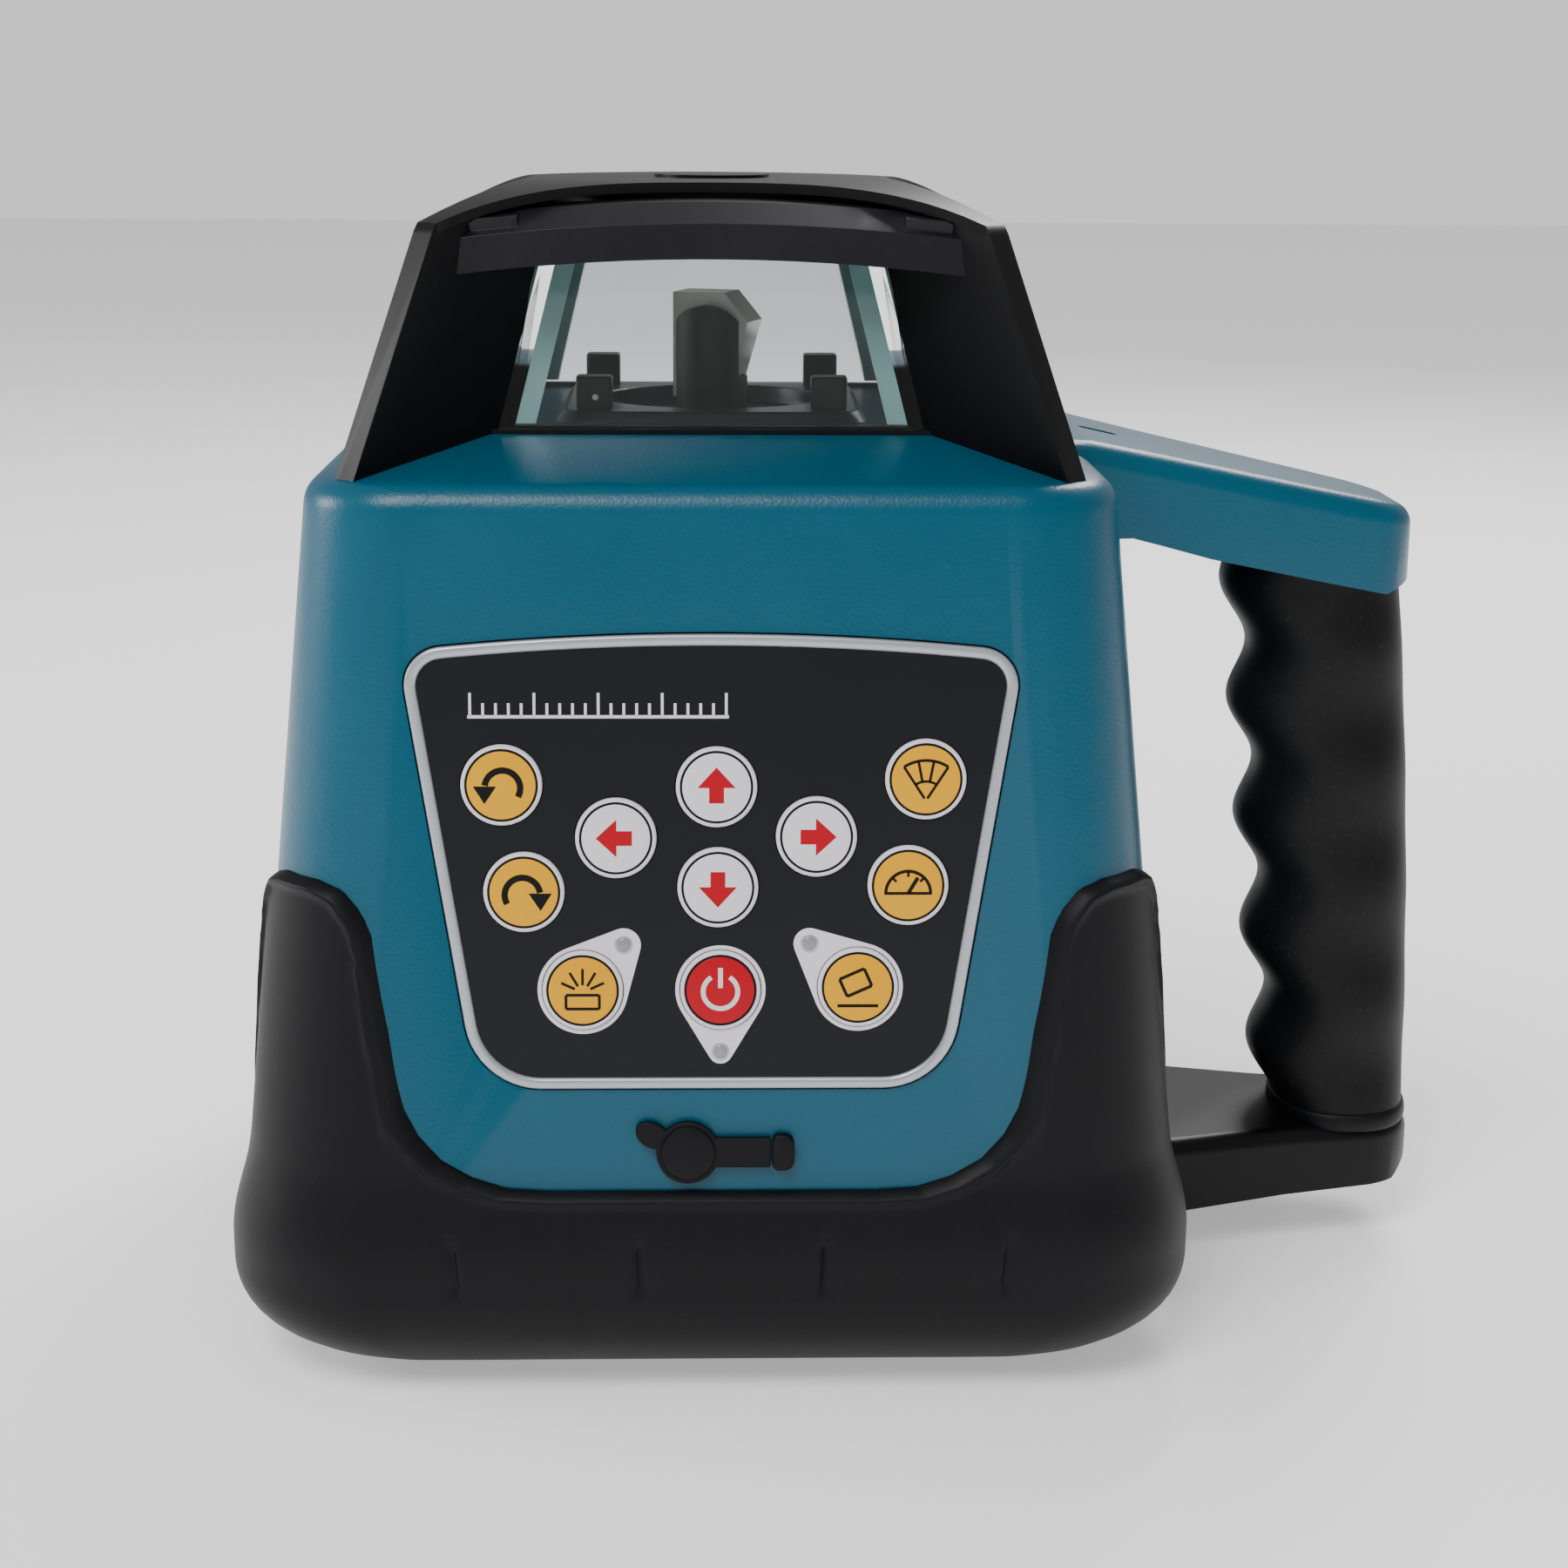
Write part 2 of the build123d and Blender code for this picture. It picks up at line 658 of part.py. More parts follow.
# ---------------------------------------------------------------- battery
with BuildPart() as battery_door:
    with BuildSketch(REAR.offset(-DOOR_THICK)):
        with Locations((0, DOOR_MID)):
            RectangleRounded(2 * DOOR_HALF, DOOR_TALL, 2.5)
    extrude(amount=DOOR_THICK)
    fillet(battery_door.edges().filter_by(Axis.X).sort_by(Axis.Z)[:2], 1.45)
    with BuildSketch(HINGE):
        Circle(PIN_R + 0.08)
    extrude(amount=2 * DOOR_HALF + 6, mode=Mode.SUBTRACT)
    with BuildSketch(REAR.offset(-4)):
        with Locations((0, KNOB_S)):
            Circle(3.1)
    extrude(amount=8, mode=Mode.SUBTRACT)
save(battery_door.part, "battery_door")

with BuildPart() as door_knob:
    with BuildSketch(REAR.offset(0.1)):
        with Locations((0, KNOB_S)):
            Circle(KNOB_R)
    extrude(amount=1.0)
    with BuildSketch(REAR.offset(1.1)):
        with Locations((0, KNOB_S)):
            SlotOverall(2 * KNOB_R - 1, 3)
    extrude(amount=1.6)
    with BuildSketch(REAR.offset(-3.5)):
        with Locations((0, KNOB_S)):
            Circle(3)
    extrude(amount=3.6)
    with BuildSketch(REAR.offset(-5)):
        with Locations((0, KNOB_S)):
            SlotOverall(2 * (DOOR_TOP - KNOB_S + 3), 5)
    extrude(amount=1.5)
save(door_knob.part, "door_knob")

with BuildPart() as battery_pack:
    with BuildSketch(Plane.XY.offset(42)):
        for cell in (-26, -8.7, 8.7, 26):
            with Locations((cell, 45)):
                Circle(8.7)
        with Locations((0, 45)):
            Rectangle(60, 12)
    extrude(amount=34)
save(battery_pack.part, "battery_pack")

with BuildPart() as battery_cradle:
    with BuildSketch(Plane.XY.offset(39)):
        with Locations((0, 48)):
            RectangleRounded(74, 40, 4)
    extrude(amount=2)
    with BuildSketch(Plane.XY.offset(41)):
        with Locations((0, 31)):
            Rectangle(74, 3)
    extrude(amount=34)
save(battery_cradle.part, "battery_cradle")

with BuildPart() as battery_contacts:
    with BuildSketch(Plane.XY.offset(41)):
        with Locations((-26, 45), (26, 45)):
            Circle(4)
    extrude(amount=1)
save(battery_contacts.part, "battery_contacts")

with BuildPart() as control_board:
    with BuildSketch(Plane.XY.offset(BOARD_Z)):
        with Locations((0, -16)):
            RectangleRounded(96, 72, 3)
    extrude(amount=1.6)
    with BuildSketch(Plane.XY.offset(BOARD_Z + 1.6)):
        with Locations((-20, -20)):
            Rectangle(14, 14)
        with Locations((12, -30), (26, -8)):
            Rectangle(10, 8)
    extrude(amount=2)
save(control_board.part, "control_board")

# ---------------------------------------------------------------- levelling frame
with BuildPart() as chassis_plate:
    with BuildSketch(Plane.XY.offset(DECK_Z)):
        RectangleRounded(2 * 60.4, 2 * 52, 12)
        Circle(34, mode=Mode.SUBTRACT)
    extrude(amount=DECK_THICK)
save(chassis_plate.part, "chassis_plate")

with BuildPart() as gimbal_brackets:
    with BuildSketch(Plane.XZ):
        with BuildLine():
            Polyline(
                (30, PIVOT_Z - 5), (34, PIVOT_Z - 5), (34, DECK_Z - 3), (45, DECK_Z - 3),
                (45, DECK_Z), (30, DECK_Z), (30, PIVOT_Z - 5),
            )
        make_face()
    extrude(amount=6, both=True)
    mirror(about=Plane.YZ)
    with BuildSketch(Plane.YZ.offset(-50)):
        with Locations((0, PIVOT_Z)):
            Circle(2.05)
    extrude(amount=100, mode=Mode.SUBTRACT)
save(gimbal_brackets.part, "gimbal_brackets")

with BuildPart() as gimbal_ring:
    with BuildSketch(Plane.XY.offset(PIVOT_Z - 4)):
        Circle(26)
        Circle(21, mode=Mode.SUBTRACT)
    extrude(amount=8)
    with BuildSketch(Plane.XY.offset(PIVOT_Z - 1.2)):
        with Locations((0, (25 + LEVER_X) / 2)):
            Rectangle(12, LEVER_X - 25)
        with Locations((0, LEVER_X)):
            Circle(8)
    extrude(amount=2.4)
    with BuildSketch(Plane.XY.offset(PIVOT_Z - 10)):
        with Locations((0, LEVER_X)):
            Circle(4.2)
    extrude(amount=20, mode=Mode.SUBTRACT)
    with BuildSketch(Plane.XZ.offset(-40)):
        with Locations((0, PIVOT_Z)):
            Circle(2.05)
    extrude(amount=80, mode=Mode.SUBTRACT)
    with BuildSketch(Plane.XY.offset(PIVOT_Z - 1.2)):
        with Locations((0, LEVER_X - 7.5)):
            Rectangle(8, 9)
    extrude(amount=2.4)
save(gimbal_ring.part, "gimbal_ring")

with BuildPart() as gimbal_pins:
    with BuildSketch(Plane.YZ.offset(25.5)):
        with Locations((0, PIVOT_Z)):
            Circle(2)
    extrude(amount=8)
    mirror(about=Plane.YZ)
    add(gimbal_ring.part, mode=Mode.SUBTRACT)
save(gimbal_pins.part, "gimbal_pins")

# ---------------------------------------------------------------- laser barrel
with BuildPart() as laser_barrel:
    with BuildSketch(Plane.XY.offset(72)):
        Circle(11)
    extrude(amount=65.5)
    with BuildSketch(Plane.XZ.offset(-23)):
        with Locations((0, PIVOT_Z)):
            Circle(2)
    extrude(amount=13)
    with BuildSketch(Plane.XZ.offset(10)):
        with Locations((0, PIVOT_Z)):
            Circle(2)
    extrude(amount=13)
    with BuildSketch(Plane.XY.offset(99)):
        with Locations((-(LEVER_Y + 10) / 2, 0)):
            Rectangle(LEVER_Y - 10, 8)
        with Locations((-LEVER_Y, 0)):
            Circle(8.5)
    extrude(amount=2.4)
    with BuildSketch(Plane.XY.offset(90)):
        with Locations((-LEVER_Y, 0)):
            Circle(5.2)
    extrude(amount=20, mode=Mode.SUBTRACT)
    with BuildSketch(Plane.XY.offset(119.2)):
        with Locations((-MOTOR_SIDE / 2 - 3, MOTOR_SIDE / 2 + 3)):
            Rectangle(19, 9, rotation=135)
        with Locations((-MOTOR_SIDE, MOTOR_SIDE)):
            Circle(6)
    extrude(amount=1.8)
    with BuildSketch(Plane.XY.offset(72)):
        Circle(8)
    extrude(amount=65.5, mode=Mode.SUBTRACT)
save(laser_barrel.part, "laser_barrel")

with BuildPart() as drive_motor:
    with BuildSketch(Plane.XY.offset(121)):
        with Locations((-MOTOR_SIDE, MOTOR_SIDE)):
            Circle(6)
    extrude(amount=16.5)
    with BuildSketch(Plane.XY.offset(130)):
        with Locations((-MOTOR_SIDE, MOTOR_SIDE)):
            Circle(1.06)
    extrude(amount=10, mode=Mode.SUBTRACT)
save(drive_motor.part, "drive_motor")

with BuildPart() as motor_pulley:
    with BuildSketch(Plane.XY.offset(131)):
        with Locations((-MOTOR_SIDE, MOTOR_SIDE)):
            Circle(1.0)
    extrude(amount=12)
    with BuildSketch(Plane.XY.offset(BELT_Z - 2)):
        with Locations((-MOTOR_SIDE, MOTOR_SIDE)):
            Circle(MOTOR_PULLEY_R)
    extrude(amount=4)
save(motor_pulley.part, "motor_pulley")


def belt_loop(grow):
    """The belt's outline round both pulleys, grown by an offset."""
    with BuildSketch(Plane.XY.offset(BELT_Z - 1.5)) as outline:
        with BuildLine():
            CenterArc((0, 0), ROTOR_PULLEY_R + grow, 0, 360)
            CenterArc((-MOTOR_SIDE, MOTOR_SIDE), MOTOR_PULLEY_R + grow, 0, 360)
        make_hull()
    return outline.sketch


with BuildPart() as drive_belt:
    extrude(belt_loop(1.1), amount=3)
    extrude(belt_loop(0.15), amount=3, mode=Mode.SUBTRACT)
save(drive_belt.part, "drive_belt")

with BuildPart() as spindle_bearings:
    for z in (119, 131):
        with BuildSketch(Plane.XY.offset(z)):
            Circle(8)
            Circle(4.05, mode=Mode.SUBTRACT)
        extrude(amount=5)
save(spindle_bearings.part, "spindle_bearings")

with BuildPart() as laser_diode:
    with BuildSketch(Plane.XY.offset(74)):
        Circle(8)
    extrude(amount=3)
    with BuildSketch(Plane.XY.offset(77)):
        Circle(4.5)
    extrude(amount=6)
save(laser_diode.part, "laser_diode")

with BuildPart() as collimator_lens:
    with BuildSketch(Plane.XY.offset(99)):
        Circle(8)
    extrude(amount=3.5)
    fillet(collimator_lens.edges().group_by(Axis.Z)[-1], 1.5)
save(collimator_lens.part, "collimator_lens")

with BuildPart() as level_vials:
    with BuildSketch(Plane.YZ.offset(-13)):
        with Locations((-15.2, 80)):
            Circle(4)
    extrude(amount=26)
    with BuildSketch(Plane.XZ.offset(-13)):
        with Locations((15.2, 90)):
            Circle(4)
    extrude(amount=26)
    with BuildSketch(Plane.XY.offset(70)):
        Circle(11.1)
    extrude(amount=30, mode=Mode.SUBTRACT)
save(level_vials.part, "level_vials")

# ---------------------------------------------------------------- rotor
with BuildPart() as rotor_spindle:
    with BuildSketch(Plane.XY.offset(118.5)):
        Circle(4)
    extrude(amount=26.5)
    with BuildSketch(Plane.XY.offset(BELT_Z - 2)):
        Circle(ROTOR_PULLEY_R)
    extrude(amount=4)
    with BuildSketch(Plane.XY.offset(118)):
        Circle(2)
    extrude(amount=40, mode=Mode.SUBTRACT)
save(rotor_spindle.part, "rotor_spindle")

TWIST = -17.0
with BuildPart() as prism_straight:
    with BuildSketch(Plane.XZ.offset(2.6)):
        with BuildLine():
            Polyline(
                (-6.2, 152), (-6.2, 169.9), (3.0, 169.9), (7.2, 165), (4.4, 155.5), (4.4, 152), (-6.2, 152),
            )
        make_face()
    extrude(amount=-9.0)
with BuildPart() as pentaprism:
    add(prism_straight.part.rotate(Axis.Z, TWIST))
save(pentaprism.part, "pentaprism")

with BuildPart() as holder_straight:
    with BuildSketch(Plane.XY.offset(145)):
        Circle(ROTOR_R)
    extrude(amount=24)
    with BuildSketch(Plane.XZ) as arch:
        with BuildLine():
            Polyline((-7, 144), (-7, 164.4), (-6.2, 164.4))
            ThreePointArc((-6.2, 164.4), (-3.4, 166.8), (0, 167.8))
            ThreePointArc((0, 167.8), (3.4, 166.8), (6.2, 164.4))
            Polyline((6.2, 164.4), (7, 164.4), (7, 144), (-7, 144))
        make_face()
    extrude(amount=10, both=True, mode=Mode.INTERSECT)
    with BuildSketch(Plane.XY.offset(155.5)):
        with Locations((0, 5)):
            Rectangle(20, 15.2)
    extrude(amount=20, mode=Mode.SUBTRACT)
    add(prism_straight.part, mode=Mode.SUBTRACT)
    with BuildSketch(Plane.XY.offset(140)):
        Circle(2)
    extrude(amount=13, mode=Mode.SUBTRACT)
with BuildPart() as prism_holder:
    add(holder_straight.part.rotate(Axis.Z, TWIST))
save(prism_holder.part, "prism_holder")

# ---------------------------------------------------------------- levelling drives
DRIVES = {"x": ((0, LEVER_X), PIVOT_Z, 102.0), "y": ((-LEVER_Y, 0), 100.2, 88.0)}
with BuildPart() as level_motors:
    for place, _, _ in DRIVES.values():
        with BuildSketch(Plane.XY.offset(121)):
            with Locations(place):
                Circle(6)
        extrude(amount=DECK_Z - 121)
save(level_motors.part, "level_motors")

for drive, (place, mid, low) in DRIVES.items():
    with BuildPart() as level_screw:
        with BuildSketch(Plane.XY.offset(low)):
            with Locations(place):
                Circle(SCREW_R)
        extrude(amount=120.7 - low)
    save(level_screw.part, f"level_screw_{drive}")
    with BuildPart() as level_nut:
        for base, tall, radius in ((mid - 3.25, 1.2, 5.8), (mid - 2.05, 4.1, 3), (mid + 2.05, 1.2, 5.8)):
            with BuildSketch(Plane.XY.offset(base)):
                with Locations(place):
                    Circle(radius)
            extrude(amount=tall)
        with BuildSketch(Plane.XY.offset(mid - 10)):
            with Locations(place):
                Circle(SCREW_R + 0.1)
        extrude(amount=20, mode=Mode.SUBTRACT)
    save(level_nut.part, f"level_nut_{drive}")
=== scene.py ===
"""Looks of a rotary laser level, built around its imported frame.

Lengths are millimetres until a mesh is made, apart from the studio, which is in metres.
"""

import json
import logging
import math
from dataclasses import dataclass, field
from enum import Enum
from typing import Callable

import bmesh
import bpy
import numpy as np
from mathutils import Matrix, Vector


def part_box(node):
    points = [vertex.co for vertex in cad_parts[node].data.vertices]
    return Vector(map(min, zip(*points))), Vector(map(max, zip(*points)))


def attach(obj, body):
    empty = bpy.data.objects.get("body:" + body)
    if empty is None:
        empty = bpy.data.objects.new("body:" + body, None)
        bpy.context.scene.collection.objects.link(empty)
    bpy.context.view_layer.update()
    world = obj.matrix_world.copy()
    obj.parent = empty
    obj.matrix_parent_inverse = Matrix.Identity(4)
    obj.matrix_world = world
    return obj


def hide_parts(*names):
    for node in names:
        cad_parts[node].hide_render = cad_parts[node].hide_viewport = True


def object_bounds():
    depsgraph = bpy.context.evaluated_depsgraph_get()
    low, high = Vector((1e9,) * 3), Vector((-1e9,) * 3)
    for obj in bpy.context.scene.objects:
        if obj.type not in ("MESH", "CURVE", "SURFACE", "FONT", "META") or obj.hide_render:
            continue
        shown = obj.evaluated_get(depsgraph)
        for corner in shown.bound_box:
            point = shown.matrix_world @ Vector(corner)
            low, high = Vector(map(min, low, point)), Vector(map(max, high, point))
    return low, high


MM = 0.001
TURN = 2 * math.pi
WELD = 2e-6
FLAT_ANGLE = math.radians(0.6)
EDGE_ANGLE = math.radians(40.0)
BEVEL_FACETS = 3
KEY_SAG = 0.156
LOG = logging.getLogger("laser_level")

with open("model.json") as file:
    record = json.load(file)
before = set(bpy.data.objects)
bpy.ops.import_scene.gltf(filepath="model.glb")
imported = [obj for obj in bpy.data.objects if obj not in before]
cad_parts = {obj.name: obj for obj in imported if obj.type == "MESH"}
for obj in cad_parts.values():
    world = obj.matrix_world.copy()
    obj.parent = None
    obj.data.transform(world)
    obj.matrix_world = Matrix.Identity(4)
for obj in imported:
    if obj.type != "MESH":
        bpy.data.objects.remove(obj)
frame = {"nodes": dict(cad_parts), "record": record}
CAD_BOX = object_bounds()


# ------------------------------------------------------------------ mesh helpers
def quads(rows: int, columns: int, wrap_rows: bool, wrap_columns: bool = True) -> np.ndarray:
    """Quad faces of a grid of points stored row by row.

    Args:
        rows: number of rows.
        columns: number of points in a row.
        wrap_rows: the last row joins the first.
        wrap_columns: the last point of a row joins its first.

    Returns:
        One row of four vertex numbers per face.
    """
    r = np.arange(rows if wrap_rows else rows - 1)[:, None]
    c = np.arange(columns if wrap_columns else columns - 1)[None, :]
    below, beside = (r + 1) % rows, (c + 1) % columns
    faces = np.stack(
        [r * columns + c, r * columns + beside, below * columns + beside, below * columns + c], axis=-1
    )
    return faces.reshape(-1, 4)


def signed_volume(points: np.ndarray, faces: list[list[int]]) -> float:
    """Volume inside a closed mesh, negative when its faces point inwards."""
    total = 0.0
    for size in {len(f) for f in faces}:
        block = points[np.array([f for f in faces if len(f) == size])]
        a = block[:, 0]
        for k in range(1, size - 1):
            total += np.einsum("ij,ij->i", a, np.cross(block[:, k], block[:, k + 1])).sum()
    return total / 6


def make(name: str, points: np.ndarray, faces: list[list[int]], sharp: float = 35.0) -> bpy.types.Object:
    """Makes one closed mesh object with outward faces and smooth shading below the sharp angle.

    Args:
        name: the piece's name.
        points: vertices in millimetres, one per row.
        faces: lists of vertex numbers.
        sharp: edges turning by more than this many degrees stay crisp.

    Returns:
        The new object, linked to the scene, at the origin.
    """
    if signed_volume(points, faces) < 0:
        faces = [list(reversed(f)) for f in faces]
    mesh = bpy.data.meshes.new(name)
    mesh.from_pydata((points * MM).tolist(), [], faces)
    mesh.validate()
    mesh.polygons.foreach_set("use_smooth", np.ones(len(mesh.polygons), bool))
    mesh.set_sharp_from_angle(angle=math.radians(sharp))
    mesh.update()
    piece = bpy.data.objects.new(name, mesh)
    bpy.context.scene.collection.objects.link(piece)
    return piece


def stack(name: str, rings: np.ndarray, closed: bool = False, sharp: float = 35.0) -> bpy.types.Object:
    """A surface carried through rings of points; its ends are capped unless the rings close on themselves.

    Args:
        name: the piece's name.
        rings: points of shape (rings, points in a ring, 3).
        closed: join the last ring to the first instead of capping both.
        sharp: crisp-edge angle in degrees.
    """
    rows, columns, _ = rings.shape
    faces = quads(rows, columns, closed).tolist()
    if not closed:
        faces.append(list(range(columns))[::-1])
        faces.append([(rows - 1) * columns + c for c in range(columns)])
    return make(name, rings.reshape(-1, 3), faces, sharp)


def joined(name: str, parts: list[bpy.types.Object]) -> bpy.types.Object:
    """Joins separate closed shells into one piece that keeps each part's shading."""
    with bpy.context.temp_override(
        active_object=parts[0], selected_editable_objects=parts, object=parts[0], selected_objects=parts
    ):
        bpy.ops.object.join()
    parts[0].name = name
    parts[0].data.name = name
    return parts[0]


def outward(outline: np.ndarray) -> np.ndarray:
    """Mitred outward normals of a closed anticlockwise outline."""
    before, after = outline - np.roll(outline, 1, 0), np.roll(outline, -1, 0) - outline
    before /= np.linalg.norm(before, axis=1, keepdims=True) + 1e-12
    after /= np.linalg.norm(after, axis=1, keepdims=True) + 1e-12
    along = before + after
    along /= np.linalg.norm(along, axis=1, keepdims=True) + 1e-12
    normal = np.stack([along[:, 1], -along[:, 0]], 1)
    side = np.stack([before[:, 1], -before[:, 0]], 1)
    stretch = np.clip((normal * side).sum(1), 0.5, 1.0)
    return normal / stretch[:, None]


def anticlockwise(outline: np.ndarray) -> np.ndarray:
    """The same outline, turned so that it runs anticlockwise."""
    x, y = outline.T
    area = (x * np.roll(y, -1) - np.roll(x, -1) * y).sum()
    return outline if area > 0 else outline[::-1]


def rounded(corners: list[tuple[float, float, float]], steps: int = 8) -> np.ndarray:
    """A closed polygon with each corner rounded by its own radius.

    Args:
        corners: (x, y, radius) of each corner, in order.
        steps: points on each rounded corner.
    """
    points = []
    count = len(corners)
    for i, (x, y, radius) in enumerate(corners):
        here = np.array([x, y])
        back = np.array(corners[i - 1][:2]) - here
        on = np.array(corners[(i + 1) % count][:2]) - here
        back /= np.linalg.norm(back)
        on /= np.linalg.norm(on)
        if radius <= 0:
            points.append(here)
            continue
        half_angle = math.acos(np.clip(back @ on, -1, 1)) / 2
        middle = (back + on) / np.linalg.norm(back + on)
        centre = here + middle * radius / math.sin(half_angle)
        start = here + back * radius / math.tan(half_angle) - centre
        end = here + on * radius / math.tan(half_angle) - centre
        a0, a1 = math.atan2(start[1], start[0]), math.atan2(end[1], end[0])
        sweep = (a1 - a0 + math.pi) % TURN - math.pi
        for t in np.linspace(0, 1, steps):
            points.append(centre + radius * np.array([math.cos(a0 + sweep * t), math.sin(a0 + sweep * t)]))
    return anticlockwise(np.array(points))


def circle(x: float, y: float, radius: float, count: int = 48) -> np.ndarray:
    """Points round a circle."""
    a = np.linspace(0, TURN, count, endpoint=False)
    return np.stack([x + radius * np.cos(a), y + radius * np.sin(a)], 1)


def arc_path(x: float, y: float, radius: float, start: float, end: float, count: int = 24) -> np.ndarray:
    """Points along an arc between two angles in degrees."""
    a = np.radians(np.linspace(start, end, count))
    return np.stack([x + radius * np.cos(a), y + radius * np.sin(a)], 1)


def stroke(path: np.ndarray, width: float) -> np.ndarray:
    """The outline of a line of constant width drawn along a path, with square ends."""
    path = np.asarray(path, float)
    along = np.gradient(path, axis=0)
    along /= np.linalg.norm(along, axis=1, keepdims=True)
    side = np.stack([-along[:, 1], along[:, 0]], 1) * width / 2
    return anticlockwise(np.concatenate([path + side, (path - side)[::-1]]))


@dataclass(frozen=True)
class Place:
    """A flat place on the object: flat shapes are drawn on it in millimetres and raised along its normal."""

    origin: tuple[float, float, float]
    right: tuple[float, float, float]
    up: tuple[float, float, float]

    def lift(self, flat: np.ndarray, height: float | np.ndarray) -> np.ndarray:
        """Points at a height above the place, from points drawn flat on it."""
        right, up = np.array(self.right, float), np.array(self.up, float)
        out = np.cross(right, up)
        level = np.broadcast_to(height, flat.shape[:-1])[..., None]
        return np.array(self.origin) + flat[..., :1] * right + flat[..., 1:2] * up + level * out


def slab(
    name: str, outline: np.ndarray, place: Place, levels: list[tuple[float, float]], sharp: float = 35.0
) -> bpy.types.Object:
    """A plate with shaped edges: the outline is carried through levels of (inset, height) and capped."""
    outline = anticlockwise(np.asarray(outline, float))
    normal = outward(outline)
    rings = [place.lift(outline - normal * inset, height) for inset, height in levels]
    return stack(name, np.array(rings), sharp=sharp)


def edge_levels(low: float, high: float, radius: float, steps: int = 4) -> list[tuple[float, float]]:
    """Levels of a plate from low to high whose top edge is rounded by a quarter circle."""
    turns = [math.pi / 2 * k / steps for k in range(steps + 1)]
    top = [(radius * (1 - math.cos(a)), high - radius + radius * math.sin(a)) for a in turns]
    return [(0.0, low)] + top


# ------------------------------------------------------------------ finishes
def node(tree: bpy.types.NodeTree, kind: str, **values: object) -> bpy.types.Node:
    """Adds a node and sets its properties, or its inputs where the name is a socket's."""
    made = tree.nodes.new(kind)
    for key, value in values.items():
        if hasattr(made, key):
            setattr(made, key, value)
        else:
            made.inputs[key.replace("_", " ")].default_value = value
    return made


def group_tree(name: str, inputs: dict[str, float], outputs: list[str]) -> tuple:
    """An empty shader group with named value inputs and outputs, and its two end nodes."""
    tree = bpy.data.node_groups.new(name, "ShaderNodeTree")
    for label, value in inputs.items():
        socket = tree.interface.new_socket(label, in_out="INPUT", socket_type="NodeSocketFloat")
        socket.default_value = value
    for label in outputs:
        tree.interface.new_socket(label, in_out="OUTPUT", socket_type="NodeSocketFloat")
    return tree, tree.nodes.new("NodeGroupInput"), tree.nodes.new("NodeGroupOutput")


def grain_group() -> bpy.types.NodeTree:
    """Moulded grain: rounded pebbles over finer noise, with slow changes of tone.

    Returns:
        A group with inputs Scale and Pebble, and outputs Height and Tone, both from 0 to 1.
    """
    tree, start, end = group_tree("moulded_grain", {"Scale": 900.0, "Pebble": 0.6}, ["Height", "Tone"])
    place = node(tree, "ShaderNodeTexCoord")
    cells = node(tree, "ShaderNodeTexVoronoi", feature="SMOOTH_F1", Smoothness=0.7)
    fine = node(tree, "ShaderNodeTexNoise", Detail=4.0, Roughness=0.6)
    slow = node(tree, "ShaderNodeTexNoise", Scale=28.0, Detail=5.0, Roughness=0.62)
    double = node(tree, "ShaderNodeMath", operation="MULTIPLY")
    double.inputs[1].default_value = 2.3
    mix = node(tree, "ShaderNodeMix", data_type="FLOAT")
    link = tree.links.new
    for texture in (cells, fine, slow):
        link(place.outputs["Object"], texture.inputs["Vector"])
    link(start.outputs["Scale"], cells.inputs["Scale"])
    link(start.outputs["Scale"], double.inputs[0])
    link(double.outputs[0], fine.inputs["Scale"])
    link(start.outputs["Pebble"], mix.inputs[0])
    link(fine.outputs["Fac"], mix.inputs[2])
    link(cells.outputs["Distance"], mix.inputs[3])
    link(mix.outputs[0], end.inputs["Height"])
    link(slow.outputs["Fac"], end.inputs["Tone"])
    return tree


def wear_group() -> bpy.types.NodeTree:
    """Handling marks: sparse dust specks and soft rubbed patches.

    Returns:
        A group with the input Amount and the output Mask, from 0 to 1.
    """
    tree, start, end = group_tree("handling_marks", {"Amount": 0.3}, ["Mask"])
    place = node(tree, "ShaderNodeTexCoord")
    patch = node(tree, "ShaderNodeTexNoise", Scale=55.0, Detail=6.0, Roughness=0.7)
    speck = node(tree, "ShaderNodeTexNoise", Scale=1300.0, Detail=2.0)
    patch_on = node(tree, "ShaderNodeMapRange")
    patch_on.inputs["From Min"].default_value, patch_on.inputs["From Max"].default_value = 0.5, 0.75
    speck_on = node(tree, "ShaderNodeMapRange")
    speck_on.inputs["From Min"].default_value, speck_on.inputs["From Max"].default_value = 0.62, 0.72
    both = node(tree, "ShaderNodeMath", operation="MULTIPLY_ADD")
    both.inputs[1].default_value = 0.5
    scaled = node(tree, "ShaderNodeMath", operation="MULTIPLY", use_clamp=True)
    link = tree.links.new
    for texture, ramp in ((patch, patch_on), (speck, speck_on)):
        link(place.outputs["Object"], texture.inputs["Vector"])
        link(texture.outputs["Fac"], ramp.inputs["Value"])
    link(patch_on.outputs[0], both.inputs[0])
    link(speck_on.outputs[0], both.inputs[2])
    link(both.outputs[0], scaled.inputs[0])
    link(start.outputs["Amount"], scaled.inputs[1])
    link(scaled.outputs[0], end.inputs["Mask"])
    return tree


